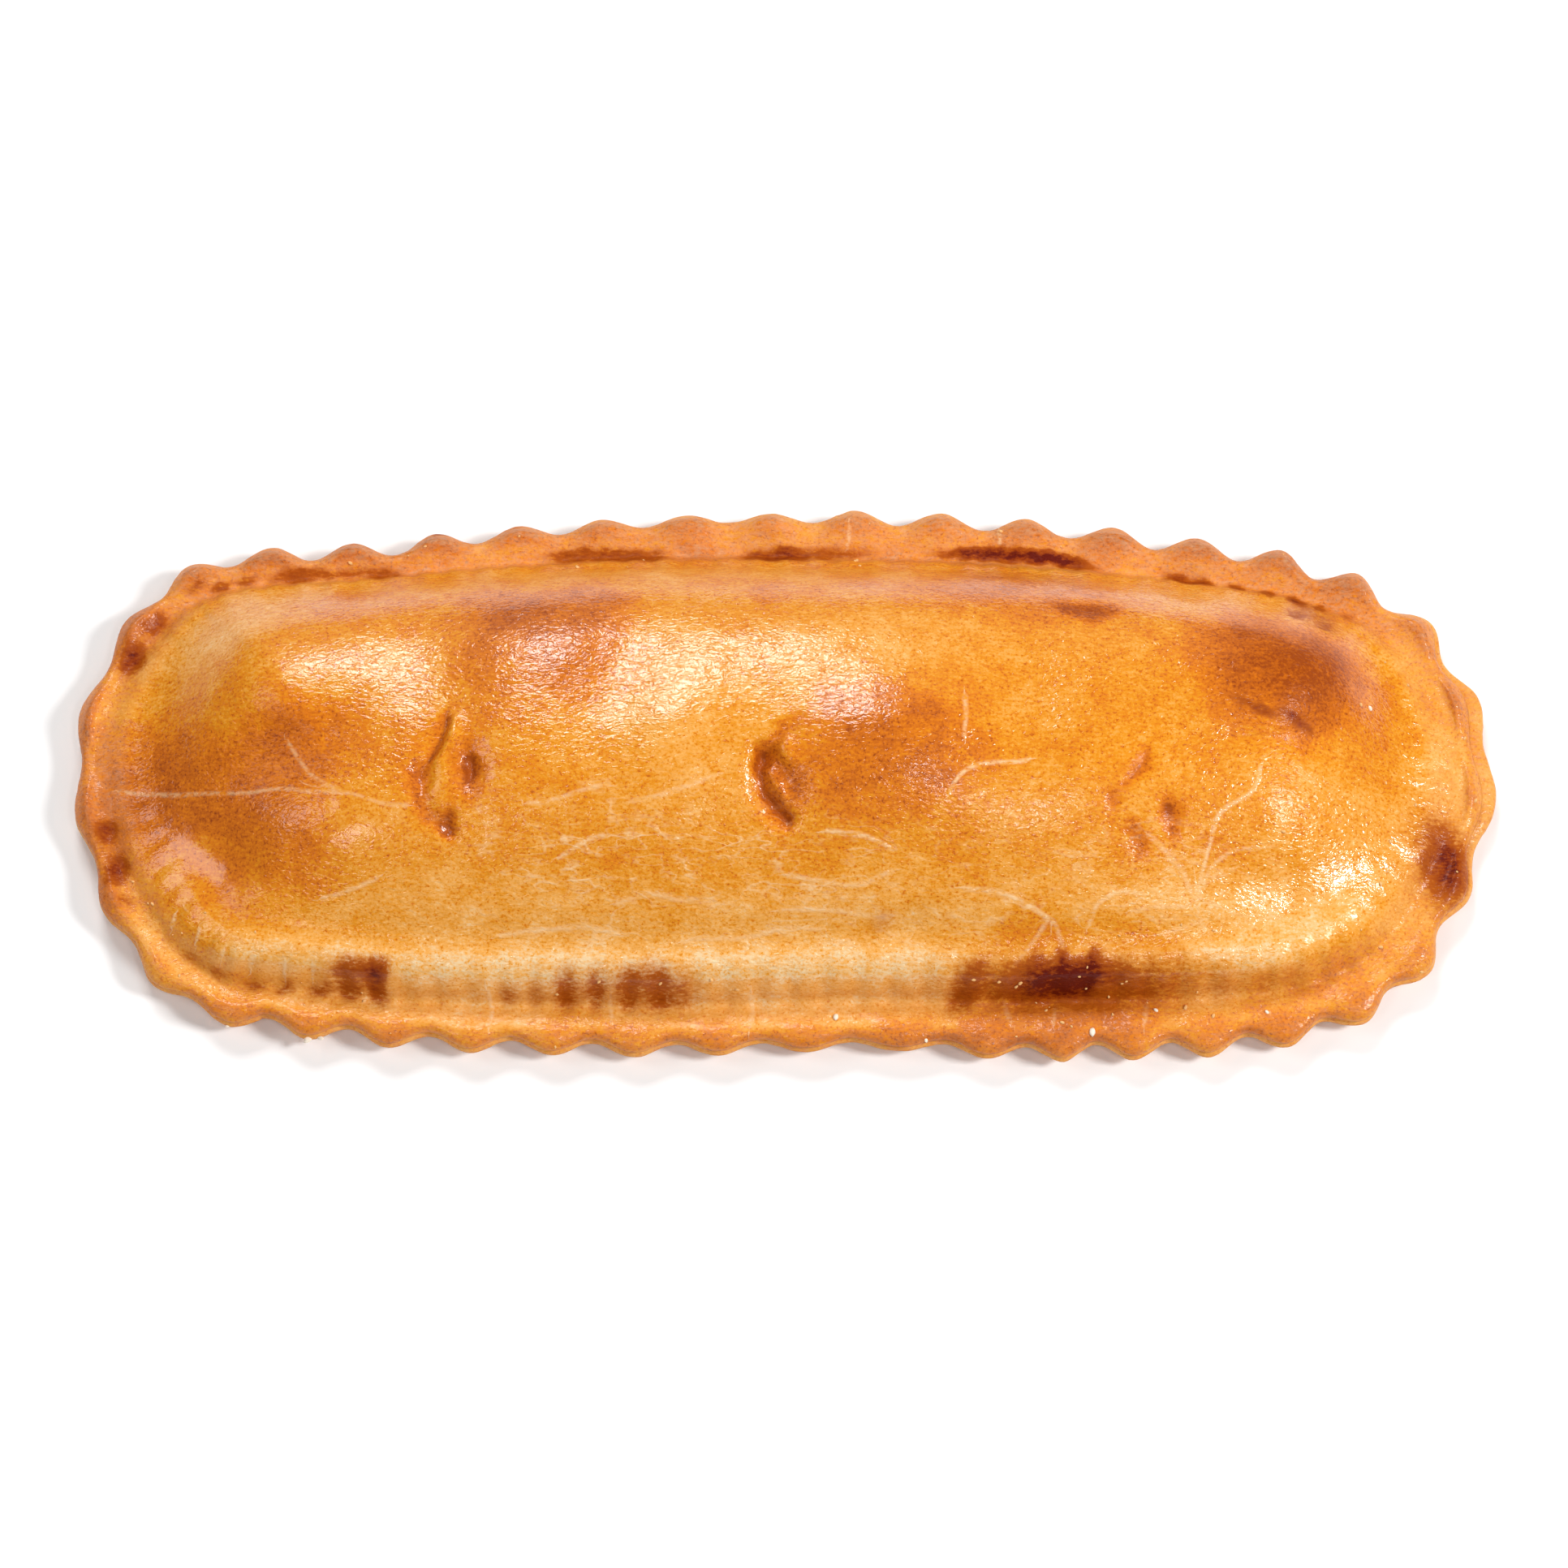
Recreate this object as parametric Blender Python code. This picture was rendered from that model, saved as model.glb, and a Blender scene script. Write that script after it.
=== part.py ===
"""A long chicken empanada: two sheets of pastry pressed together round a filling.

The solid is one piece, because nothing shows of its inside. It lies on its flat
underside. X runs along it, Y across it and Z up, with the front edge at -Y. Its
surface is a stack of rings. Every ring follows the fluted edge, further and
further in, until the last one closes along the crown like a zip.
All sizes in the tables below are millimetres.
"""

import math

import bmesh
import bpy
import numpy as np

MM = 0.001

# Overall size, over the tips of the flutes.
LENGTH = 190.0
WIDTH = 78.0

# The middle line of the fluted edge, anticlockwise from the front left: x, y, the
# width of one flute, how far its lobe stands out of the middle line, and how far in
# from the line the crimped wall starts.
EDGE = (
    (-69.0, -34.0, 10.75, 1.05, 4.6),
    (-21.5, -37.5, 10.75, 0.85, 5.4),
    (14.0, -37.0, 12.25, 0.55, 5.5),
    (36.5, -38.0, 9.5, 1.1, 6.6),
    (83.5, -27.0, 11.0, 1.15, 5.8),
    (91.5, -12.5, 13.0, 0.85, 4.4),
    (94.5, -4.0, 15.25, 0.35, 6.0),
    (83.0, 25.5, 11.25, 1.45, 5.2),
    (71.5, 30.5, 10.75, 1.45, 4.9),
    (50.0, 34.5, 12.0, 1.25, 5.3),
    (7.0, 38.0, 11.5, 1.0, 6.2),
    (-1.0, 38.0, 11.75, 0.6, 6.0),
    (-54.0, 33.5, 11.25, 1.2, 4.1),
    (-84.0, 28.0, 11.0, 0.9, 4.5),
    (-94.5, 9.0, 15.5, 0.6, 3.6),
    (-74.5, -33.0, 10.75, 0.85, 4.2),
)
FLUTE_COUNT = 40
FLUTE_START = -0.591  # place within its flute of the first point above, in turns
FLUTE_FADE = 3.2  # the flutes die away over this distance in from the edge
SPAN_STEPS = 90  # fine steps between two points of the edge

# The rim: two sheets, flat on top, curling up off the tray towards the edge.
RIM_LIFT = 1.7
SHEET = 1.6  # thickness of each pressed sheet
LOBE_PUFF_FRONT = 0.35  # how far a lobe swells above the rim
LOBE_PUFF_BACK = 1.5
LIP = 2.1  # how far the lower sheet shows beyond the upper at the right end
LIP_PLACE = (93.0, 4.0)
LIP_REACH = 17.0

# The rim's outer side from the tray up: the inset from the edge, the height in sheets
# above the lift, and 1 where it belongs to the upper sheet. The line between the two
# sheets is the deepest point.
RIM_SIDE = (
    (1.0, 0.0, 0),
    (0.0, 0.5, 0),
    (0.35, 0.9, 0),
    (0.55, 1.05, 1),
    (0.15, 1.4, 1),
    (0.7, 1.9, 1),
)
RIM_TOP = RIM_LIFT + 2 * SHEET
RIM_TOP_INSET = 1.9
RIM_FLAT = 0.5  # the least width of the flat top
RIM_DIP = 0.3  # how far the rim dips towards the foot of the wall
RIM_DIP_PLACE = 0.75  # as a share of the way to the foot

# The crimp: a toothed press leaves a ridged wall where the rim meets the dome.
CRIMP_COUNT = 110
CRIMP_DEPTH = 0.65
FOOT_Z = 4.4
# The crimped wall and the lid have their own sizes at the rear, the front and the ends.
WALL_RUN = (3.6, 2.8, 3.4)
WALL_RISE = (4.4, 6.0, 2.4)
SIDE_BLEND = 0.03  # the sizes blend over this share of the way round

# The wall from its foot to the shoulder: shares of its run and of its rise, then how
# far a tooth mark pushes it in and down, as shares of the mark's depth.
WALL_SIDE = (
    (0.0, 0.0, 0.0, 0.6),
    (0.45, 0.5, 0.7, 0.0),
    (1.0, 1.0, 0.0, 0.7),
)

# The dome. It rises as 1 - (1 - share^start)^power, apart from its roof. A larger start
# leaves the shoulder more gently and a larger power makes the top flatter.
CROWN_Z = 23.3
LID_START = (1.1, 1.45, 1.15)
LID_POWER = (5.5, 2.8, 1.7)
LID_ROOF = (0.3, 0.0, 0.0)  # the share of its rise that runs on evenly to the crown
ROOF_POWER = 1.3
CROWN_HALF_LENGTH = 60.0
CROWN_Y = 0.5
END_DROP = 6.0  # how much lower the crown is at its two ends
END_DROP_POWER = 3
CROWN_END_POWER = 6  # how tightly the columns gather at the two ends of the crown
LUMP_START = 0.35  # the lumps fade in over this share of the way up

# The front shoulder stands a little proud, with a shallow groove behind it: the
# distance in from the shoulder, the width and the height.
SHOULDER_RELIEF = (
    (0.9, 1.2, 0.3),
    (4.4, 2.0, -0.45),
)

# The filling shows through as lumps and hollows: x, y, half length, half width,
# turn in degrees and height. A lump is a third of its height at its half sizes.
LUMPS = (
    (-62.0, 9.0, 14.5, 12.0, 15.0, 1.5),
    (-72.0, 7.0, 9.0, 9.0, 0.0, 1.2),
    (-48.0, 13.0, 6.5, 10.0, -20.0, -0.5),
    (-44.0, 5.0, 6.0, 8.0, 0.0, -0.5),
    (-32.0, 13.0, 12.5, 9.0, 5.0, 0.9),
    (-20.0, 8.0, 7.0, 9.0, 0.0, -1.0),
    (-25.0, 1.0, 6.5, 9.0, 25.0, -0.4),
    (-16.0, 3.0, 8.0, 10.0, 0.0, 0.8),
    (5.0, 13.0, 14.5, 9.0, 8.0, 0.9),
    (14.0, 0.0, 12.5, 9.0, 20.0, 1.7),
    (-6.0, -8.0, 9.0, 9.0, 0.0, -0.7),
    (30.0, 3.0, 8.0, 11.0, 0.0, -0.9),
    (63.0, 10.0, 14.5, 10.0, -15.0, 2.0),
    (67.0, -20.0, 9.0, 7.0, 0.0, -2.0),
    (-75.0, -16.0, 9.0, 6.0, -20.0, -1.8),
    (-56.0, -12.0, 9.0, 6.5, -10.0, 1.0),
    (-66.0, -4.0, 6.5, 4.5, 0.0, -0.7),
    (15.0, -22.0, 12.5, 4.5, 0.0, 0.4),
    (50.0, -14.0, 13.5, 8.0, 0.0, -1.0),
)

# Steam vents, stamped through the lid before baking. Each is a crescent, open to the
# right, with a prick near its middle: x and y of the crescent's centre, the turn in
# degrees, its depth, then x, y and depth of the prick.
VENTS = (
    (-38.3, -5.6, 2.0, 1.0, -40.5, -4.5, 1.1),
    (5.0, -5.9, -3.0, 1.3, -1.6, -10.5, 0.6),
    (51.6, -8.4, -10.0, 0.6, 50.2, -10.3, 0.9),
)
VENT_RADIUS = 8.6
VENT_SPREAD = 50.0  # degrees to each side of the crescent's middle
VENT_FADE = 14.0
VENT_WIDTH = 1.5
PRICK_WIDTH = 1.9

# Rings and columns of the mesh.
COLUMNS = 3 * CRIMP_COUNT
COARSE = 3  # the underside and the dome keep one column in three
PATH_STEPS = 40
PATH_PULL = 14.0  # how far in a column keeps straight to the edge
PATH_AIM = 0.35
DOME_RINGS = (0.03, 0.08, 0.15, 0.23, 0.33, 0.45, 0.58, 0.72, 0.86, 1.0)
LID_Z = 9.0  # no vent lies lower than this
BASE_INSET = 9.5  # the underside is flat within this distance of the edge
BASE_CURL_INSET = 5.0
BASE_CURL = 0.6  # how far the underside has curled up there
MERGE = 0.02  # points of the crown closer than this are one
VENT_NEAR = 0.02  # faces sunk deeper than this are made finer
VENT_CUTS = 3

CRUST_COLOUR = (0.79, 0.33, 0.07, 1.0)
CRUST_ROUGHNESS = 0.42


def closed_curve(points):
    """A smooth closed curve through the points, with its chord-length tangents."""
    ahead = np.roll(points, -1, 0)
    behind = np.roll(points, 1, 0)
    to_next = np.linalg.norm(ahead - points, axis=1)[:, None]
    to_last = np.linalg.norm(points - behind, axis=1)[:, None]
    slope_next = (ahead - points) / to_next
    slope_last = (points - behind) / to_last
    tangent = (slope_next * to_last + slope_last * to_next) / (to_next + to_last)
    t = np.linspace(0.0, 1.0, SPAN_STEPS, endpoint=False)[None, :, None]
    start = points[:, None, :]
    end = ahead[:, None, :]
    leave = (tangent * to_next)[:, None, :]
    arrive = (np.roll(tangent, -1, 0) * to_next)[:, None, :]
    curve = (
        (2 * t**3 - 3 * t**2 + 1) * start
        + (t**3 - 2 * t**2 + t) * leave
        + (3 * t**2 - 2 * t**3) * end
        + (t**3 - t**2) * arrive
    )
    return curve.reshape(-1, points.shape[1])


def edge_line():
    """The edge's middle line in fine steps: points, normals, lengths, flute turns,
    flute depths and how far in the wall starts."""
    table = np.array(EDGE)
    line = closed_curve(table[:, :2])
    forward = np.roll(line, -1, 0) - np.roll(line, 1, 0)
    forward /= np.linalg.norm(forward, axis=1)[:, None]
    normal = np.stack([forward[:, 1], -forward[:, 0]], 1)
    step = np.linalg.norm(np.roll(line, -1, 0) - line, axis=1)
    place = np.arange(len(line)) / SPAN_STEPS
    knots = np.arange(len(table))
    width, depth, foot = (
        np.interp(place, knots, table[:, k], period=len(table)) for k in (2, 3, 4)
    )
    flutes = np.cumsum(step / width)
    turn = (flutes - flutes[0]) * FLUTE_COUNT / flutes[-1] + FLUTE_START
    return line, normal, step, turn, depth, foot


def columns():
    """One column of the mesh for each step round the edge, from the left tip to the
    right one along the front and back along the rear, in two halves that pair up."""
    line, normal, step, turn, depth, foot = edge_line()
    length = np.cumsum(step) - step
    total = length[-1] + step[-1]
    left = length[np.argmin(line[:, 0])]
    right = length[np.argmax(line[:, 0])]
    front = (right - left) % total
    half = COLUMNS // 2
    share = np.arange(half) / half
    s = np.concatenate([left + front * share, right + (total - front) * share]) % total

    def at(values):
        return np.interp(s, length, values, period=total)

    # The turn grows by whole flutes round the edge, so its wave is read, not itself.
    wave = np.interp(s, length, np.cos(2 * math.pi * turn), period=total)
    edge = np.stack([at(line[:, 0]), at(line[:, 1])], 1)
    out = np.stack([at(normal[:, 0]), at(normal[:, 1])], 1)
    out /= np.linalg.norm(out, axis=1)[:, None]
    return {"edge": edge, "out": out, "wave": wave, "depth": at(depth), "foot": at(foot)}


def crown_points(edge):
    """Where each column ends on the crown. A front column and the rear one facing it
    end on the same point."""
    mirror = (-np.arange(len(edge))) % len(edge)
    x = (edge[:, 0] + edge[mirror, 0]) / 2
    share = x / CROWN_HALF_LENGTH
    soft = share / (1 + np.abs(share) ** CROWN_END_POWER) ** (1 / CROWN_END_POWER)
    return np.stack([soft * CROWN_HALF_LENGTH, np.full(len(x), CROWN_Y)], 1)


def column_paths(cols):
    """Each column's way from the edge to the crown, and the length so far along it."""
    start = cols["edge"]
    end = crown_points(start)
    pull = start - cols["out"] * PATH_PULL
    aim = end + (start - end) * PATH_AIM
    t = np.linspace(0.0, 1.0, PATH_STEPS + 1)[:, None, None]
    path = (
        (1 - t) ** 3 * start
        + 3 * t * (1 - t) ** 2 * pull
        + 3 * t**2 * (1 - t) * aim
        + t**3 * end
    )
    steps = np.linalg.norm(np.diff(path, axis=0), axis=2)
    far = np.concatenate([np.zeros((1, len(start))), np.cumsum(steps, axis=0)])
    return path, far


def place_at(path, far, inset):
    """The point of each column at that distance in from the edge."""
    points = np.empty((path.shape[1], 2))
    for c in range(path.shape[1]):
        for axis in (0, 1):
            points[c, axis] = np.interp(inset[c], far[:, c], path[:, c, axis])
    return points


def smooth(value, low, high):
    """0 below low, 1 above high and an easy curve between."""
    t = np.clip((value - low) / (high - low), 0.0, 1.0)
    return t * t * (3 - 2 * t)


def lumps(points):
    """The height that the lumps and hollows add at each point."""
    height = np.zeros(len(points))
    for x, y, half_length, half_width, turn, rise in LUMPS:
        c, s = math.cos(math.radians(turn)), math.sin(math.radians(turn))
        dx, dy = points[:, 0] - x, points[:, 1] - y
        along = (dx * c + dy * s) / half_length
        across = (dy * c - dx * s) / half_width
        height += rise * np.exp(-(along**2) - across**2)
    return height


def vent_sink(x, y):
    """How deep the vents have sunk the lid at that place."""
    sink = 0.0
    for centre_x, centre_y, turn, depth, prick_x, prick_y, prick_depth in VENTS:
        dx, dy = x - centre_x, y - centre_y
        off = math.hypot(dx, dy) - VENT_RADIUS
        lean = abs(math.degrees(math.atan2(dy, -dx)) - turn)
        fade = 1 - smooth(lean, VENT_SPREAD - VENT_FADE, VENT_SPREAD + VENT_FADE)
        sink += depth * fade * math.exp(-((off / VENT_WIDTH) ** 2))
        away = math.hypot(x - prick_x, y - prick_y)
        sink += prick_depth * math.exp(-((away / PRICK_WIDTH) ** 2))
    return sink


def lip_width(edge):
    """How far the lower sheet shows beyond the upper."""
    away = np.linalg.norm(edge - np.array(LIP_PLACE), axis=1)
    return LIP * np.exp(-((away / LIP_REACH) ** 2))


def crimp_wave():
    """1 in the middle of each tooth mark and 0 between two of them."""
    turn = np.arange(COLUMNS) / COLUMNS * CRIMP_COUNT
    return (0.5 + 0.5 * np.cos(2 * math.pi * turn)) ** 1.5


def ring(cols, paths, inset, height):
    """One ring of points: inset from the fluted edge, at that height."""
    inset = np.broadcast_to(np.asarray(inset, float), (COLUMNS,))
    points = place_at(*paths, np.clip(inset, 0.0, paths[1][-1]))
    reach = cols["depth"] * cols["wave"] * np.exp(-((inset / FLUTE_FADE) ** 2))
    points = points + cols["out"] * reach[:, None]
    return np.column_stack([points, np.broadcast_to(height, (COLUMNS,))])


def underside_rings(cols, paths):
    """The flat underside and the curl of the rim beyond it."""
    return [
        ring(cols, paths, BASE_INSET, 0.0)[::COARSE],
        ring(cols, paths, BASE_CURL_INSET, BASE_CURL)[::COARSE],
    ]


def rim_rings(cols, paths):
    """The edges of the two sheets, then the top with a soft swelling in each lobe."""
    lip = lip_width(cols["edge"])
    front = 0.5 - 0.5 * cols["out"][:, 1]
    puff = LOBE_PUFF_BACK + (LOBE_PUFF_FRONT - LOBE_PUFF_BACK) * front
    lobe = puff * (0.5 + 0.5 * cols["wave"])
    rings = [
        ring(cols, paths, inset + lip * upper, RIM_LIFT + height * SHEET)
        for inset, height, upper in RIM_SIDE
    ]
    rings.append(ring(cols, paths, RIM_TOP_INSET + lip, RIM_TOP + lobe))
    dip_inset = np.maximum(RIM_DIP_PLACE * cols["foot"], RIM_TOP_INSET + lip + RIM_FLAT)
    rings.append(ring(cols, paths, dip_inset, RIM_TOP - RIM_DIP + lobe / 2))
    return rings


def by_side(cols, sizes):
    """Each column's share of the sizes at the rear, the front and the ends, which blend
    into each other round the corners."""
    turn = (np.arange(COLUMNS) / COLUMNS + 0.5) % 1.0 - 0.5
    reach = np.exp(-((turn / SIDE_BLEND) ** 2))
    facing = np.fft.ifft(np.fft.fft(cols["out"][:, 1]) * np.fft.fft(reach / reach.sum())).real
    rear = np.clip(facing, 0.0, 1.0) ** 2
    front = np.clip(-facing, 0.0, 1.0) ** 2
    return rear * sizes[0] + front * sizes[1] + (1 - rear - front) * sizes[2]


def shoulder_relief(distance):
    """The proud shoulder and the groove behind it."""
    return sum(
        rise * np.exp(-(((distance - place) / width) ** 2))
        for place, width, rise in SHOULDER_RELIEF
    )


def wall_rings(cols, paths):
    """The crimped wall, from its foot to the shoulder of the dome."""
    mark = crimp_wave() * CRIMP_DEPTH
    rise = by_side(cols, WALL_RISE)
    run = by_side(cols, WALL_RUN)
    return [
        ring(
            cols,
            paths,
            cols["foot"] + run_share * run + inward * mark,
            FOOT_Z + rise_share * rise - down * mark,
        )
        for run_share, rise_share, inward, down in WALL_SIDE
    ]


def dome_rings(cols, paths):
    """The domed lid, from the shoulder to the crown."""
    shoulder = cols["foot"] + by_side(cols, WALL_RUN)
    low = FOOT_Z + by_side(cols, WALL_RISE)
    across = paths[1][-1] - shoulder
    start = by_side(cols, LID_START)
    power = by_side(cols, LID_POWER)
    roof = by_side(cols, LID_ROOF)
    front = by_side(cols, (0.0, 1.0, 0.0))
    along = np.abs(crown_points(cols["edge"])[:, 0]) / CROWN_HALF_LENGTH
    top = CROWN_Z - END_DROP * along**END_DROP_POWER
    rings = []
    for share in DOME_RINGS:
        made = ring(cols, paths, shoulder + share * across, 0.0)
        ledge = shoulder_relief(share * across) - shoulder_relief(0.0) * (1 - share)
        bulge = (1 - roof) * (1 - share**start) ** power + roof * (1 - share) ** ROOF_POWER
        plain = low + (top - low) * (1 - bulge) + ledge * front
        made[:, 2] = plain + lumps(made[:, :2]) * smooth(share, 0.0, LUMP_START)
        rings.append(made[::COARSE])
    return rings


def size_to_fit(rings):
    """The rings moved and scaled across to the overall size, standing on z = 0."""
    points = np.concatenate(rings)
    low, high = points.min(0), points.max(0)
    middle = (low + high) / 2
    scale = np.array([LENGTH, WIDTH, 1.0]) / np.array([*(high - low)[:2], 1.0])
    middle[2] = low[2]
    return [(made - middle) * scale for made in rings]


def stitch(mesh, lower, upper):
    """Faces between two rings. One may have a multiple of the other's points."""
    fine, coarse = (lower, upper) if len(lower) > len(upper) else (upper, lower)
    ratio = len(fine) // len(coarse)
    for i in range(len(coarse)):
        span = [fine[(i * ratio + k) % len(fine)] for k in range(ratio + 1)]
        mesh.faces.new([coarse[i], *span, coarse[(i + 1) % len(coarse)]])


def press_vents(mesh):
    """Finer faces round each vent, sunk to its depth."""
    near = []
    for edge in mesh.edges:
        x, y, z = (edge.verts[0].co + edge.verts[1].co) / 2 / MM
        if z > LID_Z and vent_sink(x, y) > VENT_NEAR:
            near.append(edge)
    bmesh.ops.subdivide_edges(mesh, edges=near, cuts=VENT_CUTS, use_grid_fill=True)
    for vert in mesh.verts:
        x, y, z = vert.co / MM
        if z > LID_Z:
            vert.co.z -= vent_sink(x, y) * MM


def pastry_mesh():
    """The whole crust as one closed mesh."""
    cols = columns()
    paths = column_paths(cols)
    rings = size_to_fit(
        underside_rings(cols, paths)
        + rim_rings(cols, paths)
        + wall_rings(cols, paths)
        + dome_rings(cols, paths)
    )
    mesh = bmesh.new()
    loops = [[mesh.verts.new(point * MM) for point in made] for made in rings]
    mesh.faces.new(loops[0])
    for lower, upper in zip(loops[:-1], loops[1:]):
        stitch(mesh, lower, upper)
    bmesh.ops.remove_doubles(mesh, verts=mesh.verts, dist=MERGE * MM)
    press_vents(mesh)
    bmesh.ops.triangulate(mesh, faces=mesh.faces)
    bmesh.ops.recalc_face_normals(mesh, faces=mesh.faces)
    data = bpy.data.meshes.new("pastry")
    mesh.to_mesh(data)
    mesh.free()
    return data


def crust_material():
    """Egg-washed shortcrust, baked golden."""
    material = bpy.data.materials.new("baked_shortcrust")
    material.use_nodes = True
    shader = material.node_tree.nodes["Principled BSDF"]
    shader.inputs["Base Color"].default_value = CRUST_COLOUR
    shader.inputs["Roughness"].default_value = CRUST_ROUGHNESS
    shader.inputs["Metallic"].default_value = 0.0
    return material


def main():
    for old in list(bpy.data.objects):
        bpy.data.objects.remove(old)
    data = pastry_mesh()
    data.materials.append(crust_material())
    data.shade_smooth()
    crust = bpy.data.objects.new("pastry", data)
    bpy.context.scene.collection.objects.link(crust)


main()
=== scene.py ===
"""A baked chicken empanada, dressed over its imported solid.

The crust is built again from the sizes that the solid was made from, with faces of
about half a millimetre. It is a stack of rings that follow the fluted edge further and
further in. Geometry Nodes add the flutes, the tooth marks of the crimp and the fine
relief of the baked dough. Tables of marks in millimetres say where it browned, burnt
and cracked. Specks of flour and small crumbs lie on it.
Everything is in the part's own frame: X along the pie, Y across it, Z up.
"""

import math

import bmesh
import bpy
import numpy as np
from bpy.props import FloatProperty, FloatVectorProperty, IntProperty, PointerProperty
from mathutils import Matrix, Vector, noise


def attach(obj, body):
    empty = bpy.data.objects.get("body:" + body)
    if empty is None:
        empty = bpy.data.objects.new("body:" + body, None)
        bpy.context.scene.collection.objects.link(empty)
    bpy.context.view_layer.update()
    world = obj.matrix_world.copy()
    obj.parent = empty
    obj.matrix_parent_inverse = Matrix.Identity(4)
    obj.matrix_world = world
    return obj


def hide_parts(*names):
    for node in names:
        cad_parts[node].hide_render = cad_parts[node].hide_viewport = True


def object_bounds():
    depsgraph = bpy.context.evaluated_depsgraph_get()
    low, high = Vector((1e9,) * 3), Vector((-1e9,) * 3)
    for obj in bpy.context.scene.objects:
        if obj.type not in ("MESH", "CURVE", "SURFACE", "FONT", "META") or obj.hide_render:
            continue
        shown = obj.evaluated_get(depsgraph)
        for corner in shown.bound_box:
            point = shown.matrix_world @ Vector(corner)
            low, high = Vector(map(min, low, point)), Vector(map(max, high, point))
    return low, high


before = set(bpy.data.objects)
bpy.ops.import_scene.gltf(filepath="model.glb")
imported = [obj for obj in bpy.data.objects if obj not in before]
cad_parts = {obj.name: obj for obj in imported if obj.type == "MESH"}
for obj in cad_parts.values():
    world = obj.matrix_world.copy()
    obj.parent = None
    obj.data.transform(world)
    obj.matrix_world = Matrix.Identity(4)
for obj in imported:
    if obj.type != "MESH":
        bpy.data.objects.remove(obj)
CAD_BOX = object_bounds()

bl_info = {
    "name": "Chicken empanada",
    "version": (1, 0, 0),
    "blender": (4, 5, 0),
    "location": "View3D > Sidebar > Empanada",
    "description": "Bakes the crust of an empanada, dusts it and lights it",
    "category": "Add Mesh",
}

MM = 0.001

# --- Sizes shared with the solid, in millimetres ---------------------------------------

# The middle line of the fluted edge, anticlockwise from the front left: x, y, the
# width of one flute, how far its lobe stands out of the middle line, and how far in
# from the line the crimped wall starts.
EDGE = (
    (-69, -34, 10.75, 1.05, 4.6),
    (-21.5, -37.5, 10.75, 0.85, 5.4),
    (14, -37, 12.25, 0.55, 5.5),
    (36.5, -38, 9.5, 1.1, 6.6),
    (83.5, -27, 11, 1.15, 5.8),
    (91.5, -12.5, 13, 0.85, 4.4),
    (94.5, -4, 15.25, 0.35, 6),
    (83, 25.5, 11.25, 1.45, 5.2),
    (71.5, 30.5, 10.75, 1.45, 4.9),
    (50, 34.5, 12, 1.25, 5.3),
    (7, 38, 11.5, 1, 6.2),
    (-1, 38, 11.75, 0.6, 6),
    (-54, 33.5, 11.25, 1.2, 4.1),
    (-84, 28, 11, 0.9, 4.5),
    (-94.5, 9, 15.5, 0.6, 3.6),
    (-74.5, -33, 10.75, 0.85, 4.2),
)
FLUTE_COUNT = 40
FLUTE_START = -0.591  # place within its flute of the first point above, in turns
SPAN_STEPS = 90  # fine steps between two points of the edge

# The rim's outer side from the tray up: the inset from the edge, the height in sheets
# above the lift, 1 where it belongs to the upper sheet, then how well baked it is.
RIM_SIDE = (
    (1, 0, 0, 0.6),
    (0, 0.5, 0, 0.5),
    (0.35, 0.9, 0, 0.42),
    (0.55, 1.05, 1, 0.45),
    (0.15, 1.4, 1, 0.5),
    (0.7, 1.9, 1, 0.5),
)
RIM_LIFT = 1.7  # how high the rim stands off the tray
SHEET = 1.6  # thickness of each pressed sheet
LOBE_PUFF_FRONT = 0.35  # how far a lobe swells above the rim
LOBE_PUFF_BACK = 1.5
LIP = 2.1  # how far the lower sheet shows beyond the upper at the right end
LIP_PLACE = (93, 4)  # it is widest here
LIP_REACH = 17.0  # and dies away over this distance
RIM_TOP = RIM_LIFT + 2 * SHEET
RIM_TOP_INSET = 1.9  # its flat top starts this far in
RIM_FLAT = 0.5  # the least width of the flat top
RIM_DIP = (0.3, 0.25, 0)  # how far the rim dips towards the wall at the rear, front and ends
RIM_DIP_PLACE = 0.66  # as a share of the way to the foot

CRIMP_COUNT = 110
FOOT_Z = 4.4  # height of the crimped wall's foot
# The crimped wall and the lid have their own sizes at the rear, the front and the ends.
WALL_RUN = (3.6, 2.8, 5.6)  # how far in the wall goes
WALL_RISE = (4.4, 6, 2.4)  # and how far up
SIDE_BLEND = 0.03  # the sizes blend over this share of the way round
# The wall from its foot to the shoulder: shares of its run and of its rise, how far a
# tooth mark pushes it in and down, as shares of the mark's depth, and how well it is
# baked at the rear, the front and the ends, the front's paler tone partly painted light on the shaded
# wall.
WALL_SIDE = (
    (0, 0, 0, 0.6, (0.56, 0.32, 0.4)),
    (0.45, 0.5, 0.7, 0, (0.52, 0.34, 0.4)),
    (1, 1, 0, 0.7, (0.55, 0.2, 0.42)),
)
TOOTH_SHARE = (0.6, 0.7, 0.3)  # how deep the tooth marks are there
TOOTH_POWER = 1.5  # above 1, the marks are narrower than the dough between them
FOOT_FILL = (0.1, 0.2, 0.8)  # how far the dough fills the foot of the wall there

CROWN_Z = 23.3
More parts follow.
